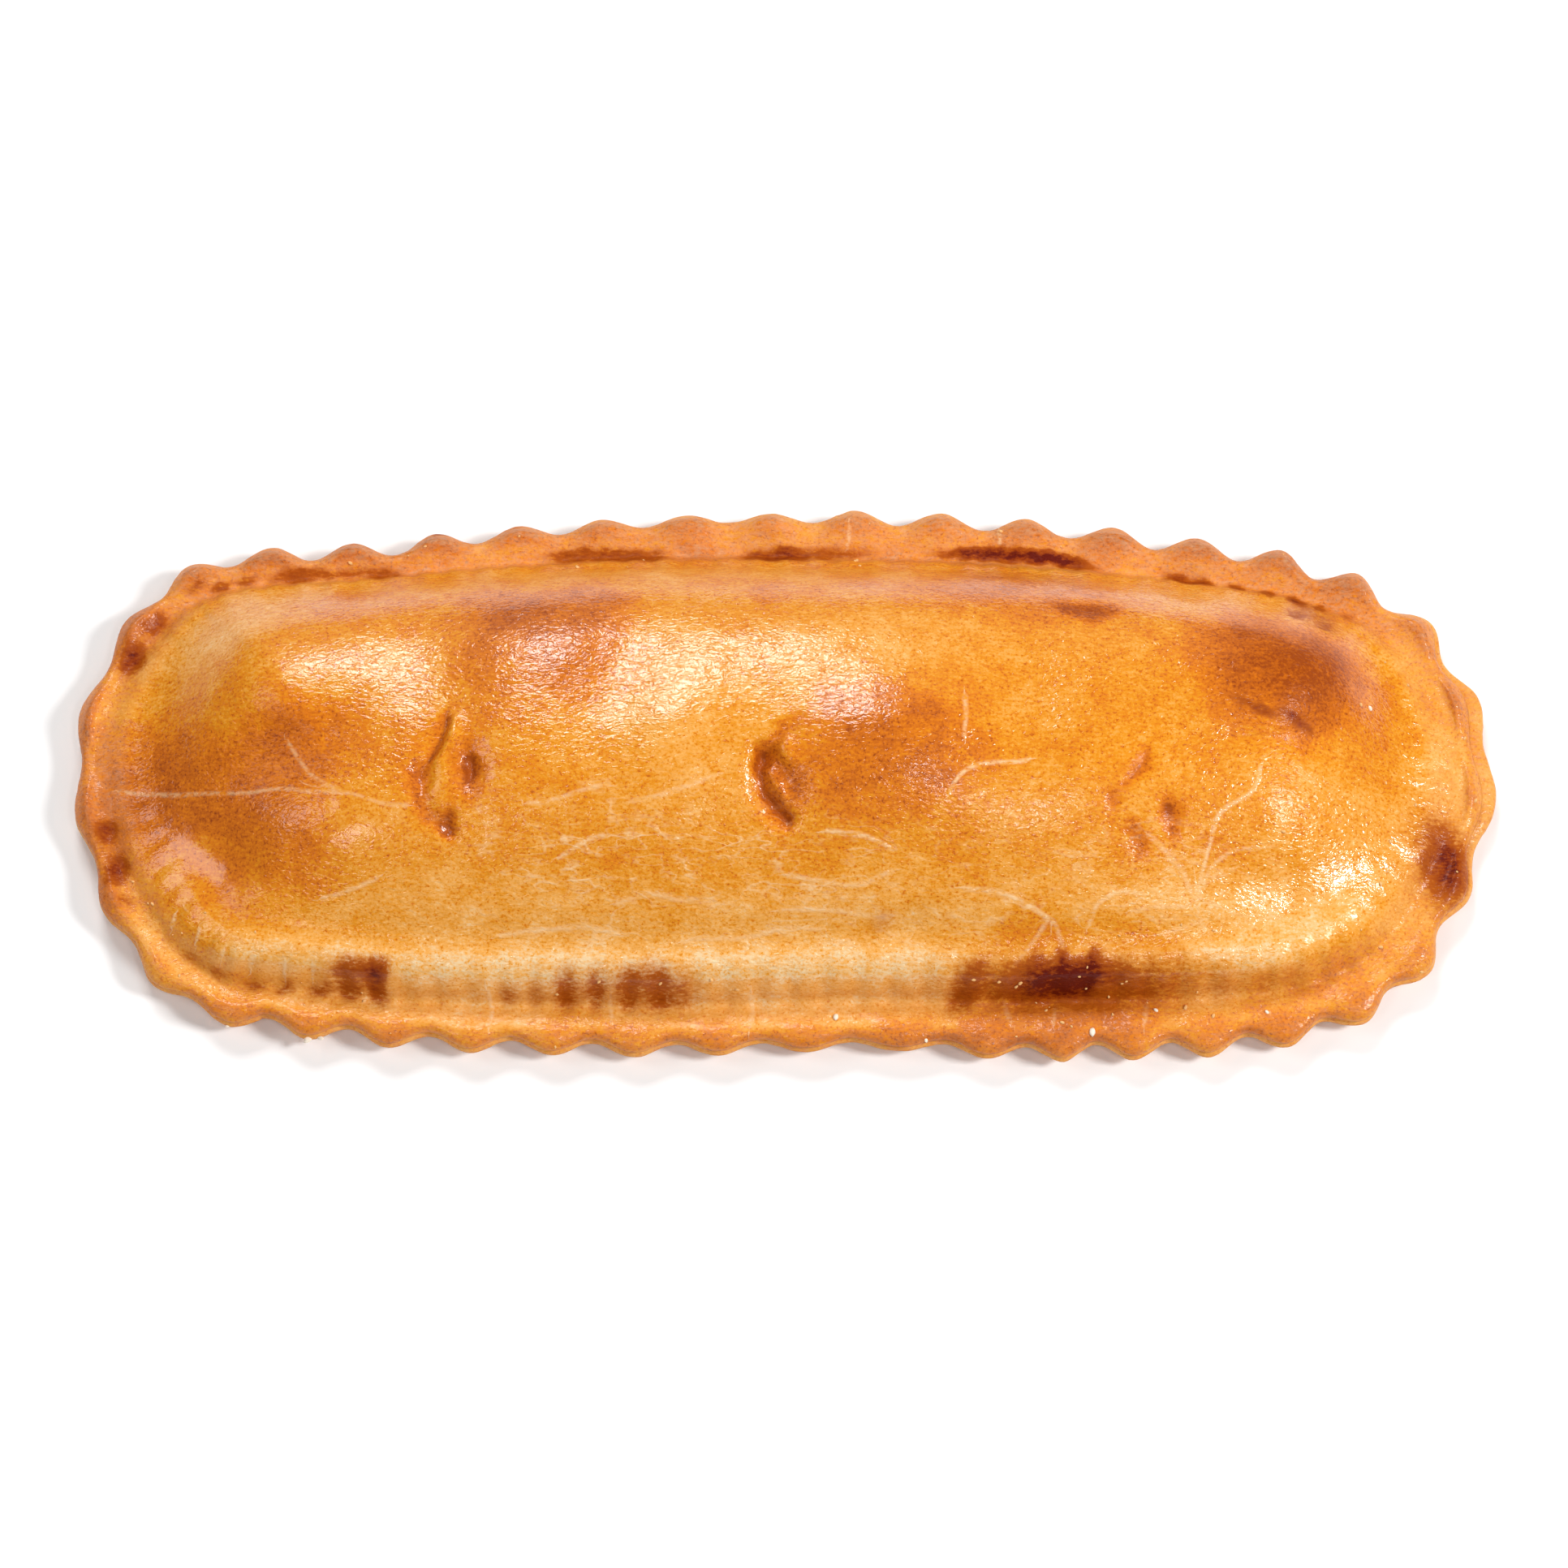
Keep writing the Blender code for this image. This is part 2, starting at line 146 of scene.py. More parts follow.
# The lid rises as 1 - (1 - share^start)^power, apart from its roof. A larger start
# leaves the shoulder more gently and a larger power makes the top flatter.
LID_START = (1.1, 1.45, 1.15)
LID_POWER = (5.5, 2.8, 1.7)
LID_ROOF = (0.3, 0, 0)  # the share of its rise that runs on evenly to the crown
ROOF_POWER = 1.3
CROWN_HALF_LENGTH = 60.0
CROWN_Y = 0.5
END_DROP = 6.0  # how much lower the crown is at its two ends
END_DROP_POWER = 3
CROWN_END_POWER = 6  # how tightly the columns gather at the two ends of the crown
LUMP_START = 0.35  # the lumps fade in over this share of the way up
PATH_STEPS = 120
PATH_PULL = 14.0  # how far in a column keeps straight to the edge
PATH_AIM = 0.35  # its last bend lies this share of the way back from the crown
BASE_INSET = 9.5  # the underside is flat within this distance of the edge
BASE_CURL_INSET = 5.0  # here it has curled up by this much
BASE_CURL = 0.6

# The filling shows through as lumps and hollows: x, y, half length, half width,
# turn in degrees and height. A lump is a third of its height at its half sizes.
LUMPS = (
    (-62, 9, 14.5, 12, 15, 1.5),
    (-72, 7, 9, 9, 0, 1.2),
    (-48, 13, 6.5, 10, -20, -0.5),
    (-44, 5, 6, 8, 0, -0.5),
    (-32, 13, 12.5, 9, 5, 0.9),
    (-20, 8, 7, 9, 0, -1),
    (-25, 1, 6.5, 9, 25, -0.4),
    (-16, 3, 8, 10, 0, 0.8),
    (5, 13, 14.5, 9, 8, 0.9),
    (14, 0, 12.5, 9, 20, 1.7),
    (-6, -8, 9, 9, 0, -0.7),
    (30, 3, 8, 11, 0, -0.9),
    (63, 10, 14.5, 10, -15, 2),
    (67, -20, 9, 7, 0, -2),
    (-75, -16, 9, 6, -20, -1.8),
    (-56, -12, 9, 6.5, -10, 1),
    (-66, -4, 6.5, 4.5, 0, -0.7),
    (15, -22, 12.5, 4.5, 0, 0.4),
    (50, -14, 13.5, 8, 0, -1),
)

# --- The finer crust -------------------------------------------------------------------

COLUMNS = 8 * CRIMP_COUNT
BASE_SHARES = (1, 0.7, 0.45, 0.25, 0.1)  # rings of the underside, from its middle
PROFILE_STEPS = (3, 5, 2, 2, 2, 2, 2, 4, 4, 6, 6, 4)  # rings between two knots
SHOULDER_SHARE = 0.06  # the rounded shoulder ends at this share of the way up
DOME_STEPS = 54  # rings from there to the crown
DOME_CROWDING = 1.1  # above 1, the rings lie closer together near the shoulder
MERGE = 0.02  # points closer than this become one
BOX_SHARE = 0.9999  # of the solid's box is filled, so that rounding can't pass it
LID_CALM = 0.5  # how much lower the fine relief is on the lid
LID_FADE = 0.1  # it grows lower over this share of the way up
# The shoulder stands a little proud, with a shallow groove behind it: the distance in
# from the shoulder, the width and the height.
SHOULDER_RELIEF = ((0.9, 1.2, 0.3), (4.4, 2, -0.45))
# How well baked the parts are, from 0, raw, to 1, dark brown, with painted light and shade in the side
# tones below.
UNDERSIDE_TONE = 0.62
CURL_TONE = 0.55
# The front's tones are paler, partly painted light where the front wall and slope lie in shade, and
# the rear rim's darker, painted shade where it faces the rear light.
RIM_TONE = (0.58, 0.33, 0.47)  # rear, front and ends
TIP_TONE = 0.13  # how much browner the tips of the lobes are
DIP_TONE = (0.48, 0.28, 0.4)
SLOPE_TONE = (0.56, 0.34, 0.46)
LID_TONE = 0.46
# The shoulder's tone gives way to the slope's on the first part of the way up, and the
# slope's to the lid's on the second.
SLOPE_BLEND = (0.02, 0.15)
LID_BLEND = (0.2, 0.5)
WASH_FADE = (1, 4, 3)  # how late the wash grows up the wall there
RIM_WASH = (0.05, 0.4, 0.3)  # how much egg wash the rim got there, beside the lid

# Steam vents: three crescents, open to the right, each with a prick near its middle.
# They are cut as gouges, given by points of x, y, half width and depth (less than 0
# stands up) and by how much browner they are.
GOUGES = (
    ((-44.2, 3.2, 0.5, 0.2), (-45.5, -0.5, 1.6, 0.7), (-47.4, -5.2, 1.7, 0.8), 0.1),
    ((-47.4, -5.2, 1.5, 0.7), (-46.7, -9.8, 1.4, 0.6), (-43.4, -12.6, 1.1, 0.6), 0.28),
    ((-43.9, 2.4, 0.5, 0.3), (-44.4, -0.1, 0.55, 0.5), (-46.1, -3.4, 0.5, 0.3), 0.27),
    ((-43.4, 2, 0.9, -0.4), (-43.6, -0.6, 1.1, -0.6), (-45.2, -3.6, 0.9, -0.5), -0.08),
    ((-46.6, -4.6, 0.8, -0.35), (-47.7, -6.3, 0.7, -0.25), 0),
    ((-43.5, -10.9, 0.8, 0.5), (-43.9, -12.8, 0.8, 0.5), 0.3),
    ((-41, -2.2, 2, 0.6), (-40.9, -5, 2.2, 1), (-40.8, -7.2, 1.6, 0.5), 0.24),
    ((-41.1, -3.4, 0.7, 0.5), (-40.9, -4.6, 0.8, 0.7), (-41.1, -6.1, 0.6, 0.3), 0.4),
    ((2, 1.3, 0.8, 0.15), (-0.8, -1, 1.2, 0.4), (-2.9, -3.6, 1.5, 1), 0.14),
    ((-2.9, -3.6, 1.5, 1), (-2.6, -7.8, 1.9, 1.5), (-0.3, -11.6, 1.4, 1.2), 0.26),
    ((-3.3, -3.4, 0.6, 0.3), (-3.4, -5, 0.6, 0.4), (-3.2, -6.2, 0.5, 0.2), 0.36),
    ((-3.1, -7.4, 0.5, 0.2), (-2, -9.1, 0.7, 0.4), (0.1, -11.2, 0.8, 0.6), 0.42),
    ((-2.3, -5.4, 0.9, -0.8), (-1.3, -7.6, 0.9, -0.9), (-0.3, -9.3, 0.7, -0.5), 0),
    ((-0.4, -5.2, 1.4, 0.5), (0.8, -7.5, 1.6, 0.6), (1.5, -9, 1, 0.3), 0.24),
    ((-0.4, -2.4, 0.9, -0.5), (0.7, -4.4, 1, -0.3), -0.05),
    ((46.9, -1.9, 0.9, 0.09), (46.7, -3.7, 0.9, 0.3), (43.9, -6.7, 0.7, 0.12), 0.2),
    ((42.5, -8.5, 1.2, 0.24), (42.5, -8.9, 1.2, 0.24), 0.26),
    ((45.2, -11.6, 1.1, 0.18), (45.7, -13.3, 1.4, 0.36), (45.9, -14.4, 1.1, 0.18), 0.26),
    ((49.8, -8.9, 1.2, 0.3), (50.3, -10.4, 1.5, 0.48), (50.3, -11.8, 1.2, 0.3), 0.28),
    ((49.6, -9, 0.5, 0.12), (49.7, -9.6, 0.5, 0.12), 0.3),
)
GOUGE_STEPS = 12  # steps between two of the points
GOUGE_WANDER = 0.35  # how far their borders wander
LID_Z = 9.0  # no gouge lies lower than this
GOUGE_NEAR = 0.04  # faces sunk deeper than this are made finer

# Small hollows of the lid: x, y, half length, half width, turn and depth.
DENTS = (
    (39.7, 18.5, 3.6, 1.3, -8, 0.3),
    (15.9, -23.2, 3, 1.4, 25, 0.5),
    (61.5, 4.4, 3, 0.5, -25, 0.06),
    (66.5, 3.2, 2.2, 0.5, -25, 0.06),
    (-84.4, 21.4, 1.6, 1.2, 40, 0.5),
    (-88, 16, 1.6, 1.2, 65, 0.5),
    (-89.6, -8, 1.4, 1.1, 90, 0.4),
    (-88, -13, 1.8, 1.3, -60, 0.5),
    (37, -30.5, 6, 1.2, 5, 0.4),
)

# Where the lid browned, and where painted light pales it: x, y, half length, half width,
# turn in degrees, how much browner it is there, and the softness of the patch's border (1 is all
# border).
TOAST_AND_LIGHT = (
    (-72, -3, 16, 7, 5, 0.2, 0.6),
    (-68, -15, 9, 7, -15, 0.22, 0.45),
    (-84, -8, 7, 10, 10, 0.12, 0.7),
    (-32, 12, 12.5, 9.5, 5, 0.2, 0.5),
    (-29, 17.5, 9, 5.5, 0, 0.08, 0.35),
    (12.5, -2.5, 12.5, 9.2, 15, 0.24, 0.45),
    (65, 10.5, 11, 8.5, -20, 0.3, 0.6),
    (69.5, 9, 5.5, 8, 0, 0.14, 0.5),
    (38, -27.5, 16.5, 6.5, 0, 0.2, 0.35),
    (37, -33, 17, 3.6, 4, 0.16, 0.6),
    (70, -30, 12, 4, 20, 0.2, 0.8),
    (-60, -33.5, 22, 3.4, -8, 0.12, 0.8),
    (-20, -33.5, 14, 2.8, 0, 0.12, 0.7),
    (2, -36.5, 26, 2.4, 0, 0.1, 0.8),
    (-84, 6, 6, 14, 0, 0.08, 0.8),
    (27, 22, 15, 6.5, -5, 0.12, 0.7),
    (39.7, 18.5, 4.2, 1.7, -8, 0.34, 0.5),
    (80, 4, 5, 8, 0, 0.12, 0.6),
    (-93, -3, 5, 22, 0, 0.2, 0.8),
    (-78, 26, 22, 6, 18, 0.14, 0.8),
    (76, -24, 14, 5, 30, 0.06, 0.8),
    (-24, 33, 70, 3.5, 0, 0.07, 0.8),
    (-76, 19, 14, 5, 30, -0.22, 0.8),
    (-76, 6, 9, 7, 0, 0.05, 0.8),
    (-50, 1, 14, 5, 0, 0.06, 0.8),
    (-78, -22, 12, 4, -35, 0.08, 0.8),
    (-10, -4, 14, 9, 0, -0.08, 0.9),
    (11, 12, 12, 6, 0, -0.12, 0.9),
    (-13, 8, 7, 14, 10, -0.07, 0.9),
    (60, -22, 20, 5, 0, -0.1, 0.8),
    (78, -4, 8, 14, 0, -0.08, 0.8),
    (62, 21, 14, 4, -15, -0.14, 0.8),
    (-5, 26, 50, 3, 0, -0.1, 0.9),
    (38, -35.5, 22, 2.4, 2, 0.2, 0.8),
    (-44, 35.5, 22, 2.2, 3, 0.1, 0.8),
    (74, 27, 12, 3, -35, 0.16, 0.8),
    (52, 32.5, 20, 4, -12, 0.16, 0.8),
    (90, 12, 4, 10, 15, 0.12, 0.8),
    # The next three rows pale the ridge, the front wall and the slope above the ridge: painted light
    # where these front faces lie in shade; the ridge's dough is also paler.
    (0, -27.2, 70, 1.5, 0, -0.1, 0.9),
    (0, -31, 60, 1.8, 0, -0.12, 0.9),
    (0, -21.5, 60, 3, 0, -0.05, 0.9),
    (66, 12, 9, 6, -15, 0.07, 0.8),
)

# Where the crust burnt, mostly in the tooth marks of the crimp: as TOAST_AND_LIGHT.
BURNS = (
    (-55.2, -28.4, 4, 0.8, 2, 0.34, 0.7),
    (-53, -29.6, 1.2, 2.1, 0, 0.42, 0.7),
    (-56, -29.6, 3.4, 1.6, 0, 0.14, 0.8),
    (-57.3, -30.2, 1.6, 1, 0, 0.22, 0.8),
    (-61.1, -30.2, 1.2, 0.7, 0, 0.34, 0.8),
    (-65.8, -29.7, 1.1, 0.6, 0, 0.3, 0.8),
    (-69.7, -29.3, 1.1, 0.6, -10, 0.3, 0.8),
    (-74.2, -27.9, 1.1, 0.6, -25, 0.24, 0.8),
    (-77.9, -25.6, 1.1, 0.6, -40, 0.2, 0.8),
    (-28.6, -30.8, 1.7, 1.4, 0, 0.2, 0.8),
    (-24.9, -30.8, 1.3, 1, 0, 0.18, 0.9),
    (-20.7, -30.2, 1.6, 1.6, 0, 0.2, 0.9),
    (-17.2, -30.1, 1.8, 2.2, 0, 0.24, 0.8),
    (-14.2, -30.9, 1.6, 1.3, 0, 0.18, 0.9),
    (-36.3, -31, 1.2, 0.8, 0, 0.22, 0.9),
    (-32.6, -31, 1.2, 0.7, 0, 0.12, 0.9),
    (24.1, -29.9, 3, 1.6, 49, 0.32, 0.8),
    (36, -29.4, 6.5, 1.4, 6, 0.5, 0.7),
    (36.5, -29.6, 3.8, 0.9, 8, 0.34, 0.7),
    (38, -30.4, 9.5, 2.2, 2, 0.2, 0.7),
    (33.2, -28.2, 0.9, 1.6, 25, 0.36, 0.7),
    (35.9, -27.9, 0.8, 1.7, 0, 0.5, 0.7),
    (39.9, -27.8, 0.9, 1.7, -8, 0.48, 0.7),
    (36, -30.5, 15, 4.5, 2, 0.13, 0.8),
    (62.5, -29.5, 1.4, 1.4, 0, 0.16, 0.9),
    (66.6, -28.9, 1.4, 1.4, 0, 0.14, 0.9),
    (57.5, -29.9, 1.4, 1.4, 0, 0.1, 0.9),
    (87.2, -12.6, 2.8, 4.8, 10, 0.4, 0.8),
    (87.9, -13, 1.4, 2.8, 10, 0.36, 0.8),
    (86.6, -11.6, 4.5, 7, 0, 0.14, 0.9),
    (-84.9, 21.7, 1.7, 1.1, 50, 0.45, 0.8),
    (-87.9, 16.8, 1.3, 1.9, -20, 0.58, 0.8),
    (-87, 18.5, 3.5, 5, -30, 0.13, 0.9),
    (-90.3, -8, 1.2, 1.6, 0, 0.45, 0.8),
    (-88.4, -13.2, 1.4, 1.8, 0, 0.6, 0.8),
    (-89.8, -12, 3.5, 6, 0, 0.13, 0.9),
    (-87, -17.8, 1.1, 0.9, 0, 0.2, 0.8),
    (-79.9, 26.9, 1.4, 0.7, 25, 0.28, 0.8),
    (-76.3, 27.3, 1.4, 0.6, 20, 0.4, 0.8),
    (-72.7, 28.2, 1.3, 0.6, 10, 0.34, 0.8),
    (-66, 29, 3.4, 0.9, 6, 0.42, 0.8),
    (-60.3, 29.3, 2.2, 0.8, 2, 0.3, 0.8),
    (-55, 29.3, 2.6, 0.9, 0, 0.38, 0.8),
    (-28, 31.6, 4, 1, 0, 0.5, 0.7),
    (-20, 31.5, 4, 1.1, 0, 0.5, 0.7),
    (-1.5, 31.6, 3.8, 1.2, 3, 0.62, 0.7),
    (6, 32.1, 5, 0.9, 0, 0.36, 0.8),
    (23.5, 32.2, 3.5, 0.7, 0, 0.44, 0.8),
    (31.5, 31.8, 6, 0.9, -5, 0.86, 0.8),
    (38, 30.9, 3.6, 0.8, -14, 0.66, 0.8),
    (53.5, 28.3, 1.9, 0.8, -15, 0.55, 0.8),
    (56.6, 27.7, 1.2, 0.8, -12, 0.6, 0.8),
    (61.2, 26.9, 1, 0.7, -12, 0.5, 0.8),
    (64.9, 25.9, 1, 0.7, -15, 0.5, 0.8),
    (68.9, 24.8, 1.1, 0.8, -15, 0.6, 0.8),
    (72.2, 24, 0.9, 0.7, -20, 0.45, 0.8),
    (75.8, 22.8, 0.9, 0.9, -20, 0.2, 0.9),
    (70.6, 22, 3.4, 1.8, -35, 0.24, 0.8),
    (68.4, 20.6, 1.2, 0.45, -15, 0.4, 0.8),
    (72, 19, 1.1, 0.5, -15, 0.3, 0.8),
    (61.5, 4.4, 3.2, 0.7, -25, 0.5, 0.8),
    (66.8, 3.2, 2.2, 0.7, -25, 0.6, 0.8),
    (-57.5, 34.6, 1.6, 0.5, 0, 0.6, 0.6),
    (-46.5, 35.6, 2, 0.5, 0, 0.55, 0.6),
    (12.5, -23, 1.5, 0.9, 20, 0.12, 0.9),
)
# Broad burns that keep more or less to the tooth marks. The same values, then how far
# they keep to them.
TOOTH_BURNS = ((-21.5, -30.7, 9.5, 1.8, 0, 0.22, 0.7, 0.7), (48.5, -29.6, 7, 2.2, 6, 0.12, 0.9, 0.3))

# Pale cracks where the crust stretched: how strong, then x and y of points on each.
CRACKS = (
    (0.5, (-88, -2.5), (-81.8, -3.6), (-71.4, -5.5), (-61.6, -6.7), (-49, -9.3)),
    (0.45, (-64.8, -0.4), (-62.3, -3.7), (-57.9, -7.2)),
    (0.7, (-60.2, -19.7), (-58, -19.3), (-52.7, -17.5)),
    (0.7, (23.2, 4.5), (23.7, 1.6), (23.3, -1.2)),
    (0.9, (21.1, -8.5), (22.7, -6.5), (25.9, -4.8), (31.2, -3.9)),
    (0.8, (61.8, -3.1), (60.9, -5.9), (56.7, -9.4), (55.4, -12.3), (53.6, -19.9)),
    (0.6, (53.6, -19.9), (55.9, -15.9), (58.9, -14), (61.6, -13.7)),
    (0.5, (47.2, -12.7), (49.2, -14.3), (51.8, -17.3), (53.3, -20.9)),
    (0.6, (45.4, -21.9), (48.6, -21.1), (51.9, -21.1)),
    (0.5, (48.7, -24.5), (51.3, -24), (53.9, -22.7)),
    (0.9, (23.3, -19.3), (26.4, -19.7), (29.6, -20.7), (34.9, -23.3)),
    (0.7, (39.1, -22.8), (40.1, -21), (42.7, -19.9), (46.4, -19.6)),
    (0.6, (33.9, -23.3), (32.4, -25.5), (31.1, -27.1), (28.8, -29.9)),
    (0.6, (34.9, -23.3), (35.6, -25.4), (36.1, -27.1)),
    (0.8, (-29.1, -15.8), (-25.9, -14.7), (-23.3, -14.1)),
    (0.7, (-36.6, -24.5), (-28.1, -24), (-21.8, -24.5)),
    (0.6, (-21.8, -21.3), (-18.6, -20.4), (-14.4, -20.8), (-9.2, -21.2)),
    (0.9, (5.5, -13.4), (9.6, -13.5), (12.8, -14.9)),
    (0.7, (0.2, -18.1), (3.4, -18.5), (7.6, -19), (13.8, -18.1)),
    (0.7, (-0.8, -22.1), (4.4, -22.1), (8.6, -22.3), (13.4, -22.3)),
    (0.6, (-33.2, -9.2), (-30.1, -8.9), (-25.9, -8.4), (-22.8, -7.7)),
    (0.6, (-19.6, -9.4), (-15.5, -8.4), (-12.3, -7.4), (-9.2, -6.3)),
    (0.6, (-13.4, -25.6), (-7.1, -24.7), (-0.8, -24.2), (4.4, -24.5)),
    (0.9, (-80.3, -20.4), (-80.7, -21.5)),
    (0.9, (-76.4, -22.9), (-76.9, -24.1)),
    (0.9, (-72.6, -25.2), (-73, -26.4)),
    (0.9, (-69.4, -26.2), (-69.8, -27.3)),
    (0.9, (-65.3, -27.1), (-65.6, -28.2)),
    (0.8, (-61.4, -27.5), (-61.6, -28.5)),
    (0.9, (-39, -31.2), (-38.4, -33.1), (-38.6, -34.9)),
    (0.6, (-22.9, -31.5), (-22.8, -33.4)),
    (0.9, (-4.5, -31), (-4.2, -33.1), (-4.6, -34.9)),
    (0.8, (8.9, 35.4), (8.6, 33)),
    (0.9, (29.2, 35.3), (29.3, 33.3)),
    (0.6, (28.9, -31.4), (29.2, -33.7)),
    (0.6, (35.3, -31.9), (35, -34.3)),
    (0.6, (47, -31.2), (46.9, -34.5)),
)
CRACK_STEPS = 4  # steps between two of the points
CRACK_WANDER = 0.8  # how far the cracks wander from their lines
CRACK_REACH = 1.6  # the crack is stored up to this far from its line
CRACK_FULL = 0.6  # it keeps its strength over this share of that reach

# Where fine crazing shows: as TOAST_AND_LIGHT.
CRAZING = ((-5, -20, 34, 8, 0, 1, 0.6), (50, -18, 18, 8, 0, 0.6, 0.7), (-28, -12, 18, 6, 0, 0.5, 0.8))

# Where the wash lies smooth, without wrinkles: as TOAST_AND_LIGHT.
SMOOTH_WASH = ((-76, -13, 8, 7, -20, 0.8, 0.5), (-56, -12, 6, 4.5, -10, 0.6, 0.6))

# Where little wash was brushed on: as TOAST_AND_LIGHT.
THIN_WASH = (
    (-67, -1, 9, 6.5, 10, 0.8, 0.6),
    (66, -6.5, 6.5, 6, 0, 0.75, 0.7),
    (67, 5, 6, 8, 0, 0.7, 0.7),
    (-66, -22.5, 12, 3.5, -20, 0.6, 0.7),
    (74, -24, 15, 4.5, 28, 0.6, 0.7),
    (47, -7, 7, 8, 0, 0.9, 0.6),
    (66.5, 2, 5, 4, 0, 0.4, 0.6),
    (-44, -6, 4.5, 9, 0, 0.5, 0.6),
    (-1, -6, 4.5, 8, 0, 0.4, 0.6),
    (66, 13, 10, 6, -15, 0.7, 0.6),
    (39.7, 18.5, 4.5, 2.5, -8, 0.8, 0.5),
    (-20, 25.5, 52, 3.5, 0, 0.7, 0.6),
    (-77, 10, 9, 9, 20, 0.5, 0.7),
)

VENT_BURNT = 0.45  # a gouge that is browner than this is a little burnt
VENT_BURN = 0.6  # this share of what it is browner by counts as burnt
# How much gloss the crust loses as it browns in a gouge, as it burns, and at most.
DULL_BROWN = 0.8
DULL_BURN = 1.5
DULLEST = 0.8
THINNEST = 0.9  # how much of it at most is lost where little wash was brushed on
WARP_SIZE = 7.0  # the patches' borders wander at this scale
WARP_REACH = 1.6
BURN_WARP_REACH = 0.4
RAGGED_SIZE = 1.6  # the borders of the burns and gouges are ragged at this scale
RAGGED_REACH = 0.55

# Where crumbs lie: as TOAST_AND_LIGHT, with the share of the greatest density.
DUSTED = (
    (37, -32.5, 16, 4, 3, 0.6, 0.6),
    (0, -34, 85, 5, 0, 0.2, 0.5),
    (60, -22, 26, 10, 20, 0.18, 0.8),
    (85, -6, 8, 22, 0, 0.3, 0.8),
    (-80, -22, 14, 8, -35, 0.5, 0.8),
    (20, 32, 70, 5, 0, 0.12, 0.8),
)

SMALLEST = 0.35  # the crumbs' sizes, as shares of the usual one
LARGEST = 1.6
DUST_DROP = 0.6  # no crumb lies further than this under the top of the rim
UPPER_FIRST = 0.001  # of two points at one place, a speck takes the upper one
TILT = 0.4  # how far a grain lies tilted, in radians
FULL_TURN = 6.28  # it faces any way
GRAIN_SHAPE = (1.25, 0.85, 0.7)  # its length, width and height, as shares of its size
GRAIN_LUMPS = 1.4  # how uneven it is
LUMPS_ACROSS = 1.7  # how many lumps it has across

# The larger specks of flour: x, y and size.
SPECKS = (
    (40.3, -35.6, 0.9),
    (6.8, -33.6, 0.8),
    (-62.6, -36, 1),
    (-60.5, -36.3, 0.7),
    (48.6, -32.6, 0.5),
    (77.6, 7.6, 0.55),
    (-73, -34.2, 0.4),
    (18.4, -36.6, 0.5),
    (63, -33, 0.5),
    (81, -26, 0.45),
)


def linear(colour):
    """An sRGB hex colour as linear red, green, blue and alpha."""
    shares = [int(colour[i : i + 2], 16) / 255 for i in (1, 3, 5)]
    return tuple(c / 12.92 if c <= 0.04045 else ((c + 0.055) / 1.055) ** 2.4 for c in shares) + (1.0,)


def colour_property(name, description, colour):
    """A colour that a user may change."""
    return FloatVectorProperty(
        name=name,
        description=description,
        subtype="COLOR",
        size=4,
        min=0.0,
        max=1.0,
        default=linear(colour),
    )


def length_property(name, description, millimetres):
    """A small length that a user may change."""
    return FloatProperty(
        name=name, description=description, default=millimetres * MM, unit="LENGTH", precision=5
    )


class CrustShape(bpy.types.PropertyGroup):
    """Sizes of the crust."""

    flute_fade: length_property("Flute fade", "How far in the flutes die away", 3.2)
    tooth_depth: length_property("Tooth depth", "Depth of a tooth mark of the crimp", 0.65)
    blister_size: length_property("Blister size", "Width of the low blisters", 5.0)
    blister_height: length_property("Blister height", "Height of the low blisters", 0.16)
    pucker_size: length_property("Pucker size", "Width of the small puckers", 2.3)
    pucker_height: length_property("Pucker height", "Height of the small puckers", 0.13)
    grain_size: length_property("Grain size", "Width of the bumps of the dough", 1.3)
    grain_height: length_property("Grain height", "Height of the bumps of the dough", 0.055)
    seed: IntProperty(name="Seed", description="Another number moves the blisters", default=3)


class CrustColours(bpy.types.PropertyGroup):
    """Colours of the crust, from raw dough to burnt."""

    dough: colour_property("Dough", "Dough that hardly browned", "#f0d0a0")
    straw: colour_property("Straw", "Palest baked crust", "#f0ad58")
    gold: colour_property("Gold", "Well baked crust", "#e28f15")
    amber: colour_property("Amber", "Crust baked a little further", "#d8760e")
    chestnut: colour_property("Chestnut", "Toasted crust", "#be5f0c")
    brown: colour_property("Brown", "Dark crust", "#964108")
    rust: colour_property("Rust", "Lightly burnt crust", "#a8500a")
    scorch: colour_property("Scorch", "Edge of a burnt mark", "#8c3606")
    char: colour_property("Char", "Middle of a burnt mark", "#631606")
    # Unwashed crust: pale with flour and with a painted pinkish sheen.
    dusty: colour_property("Dusty", "Unwashed crust dull with flour", "#ecbd8e")
    crack: colour_property("Crack", "Stretched crust in the cracks", "#f3c690")


class DustSizes(bpy.types.PropertyGroup):
    """Flour and crumbs on the crust."""

    density: FloatProperty(
        name="Density", description="Most crumbs on a square metre of the crust", default=80000.0
    )
    crumb_size: length_property("Crumb size", "Width of a crumb", 0.36)
    sink: FloatProperty(
        name="Sink",
        description="How deep a crumb sits, as a share of its width",
        subtype="FACTOR",
        default=0.15,
    )
    flour: colour_property("Flour", "Dry flour", "#fbeeda")
    crumb: colour_property("Crumbs", "Crumbs of baked dough", "#ecb877")
    seed: IntProperty(name="Seed", description="Another number moves the crumbs", default=7)


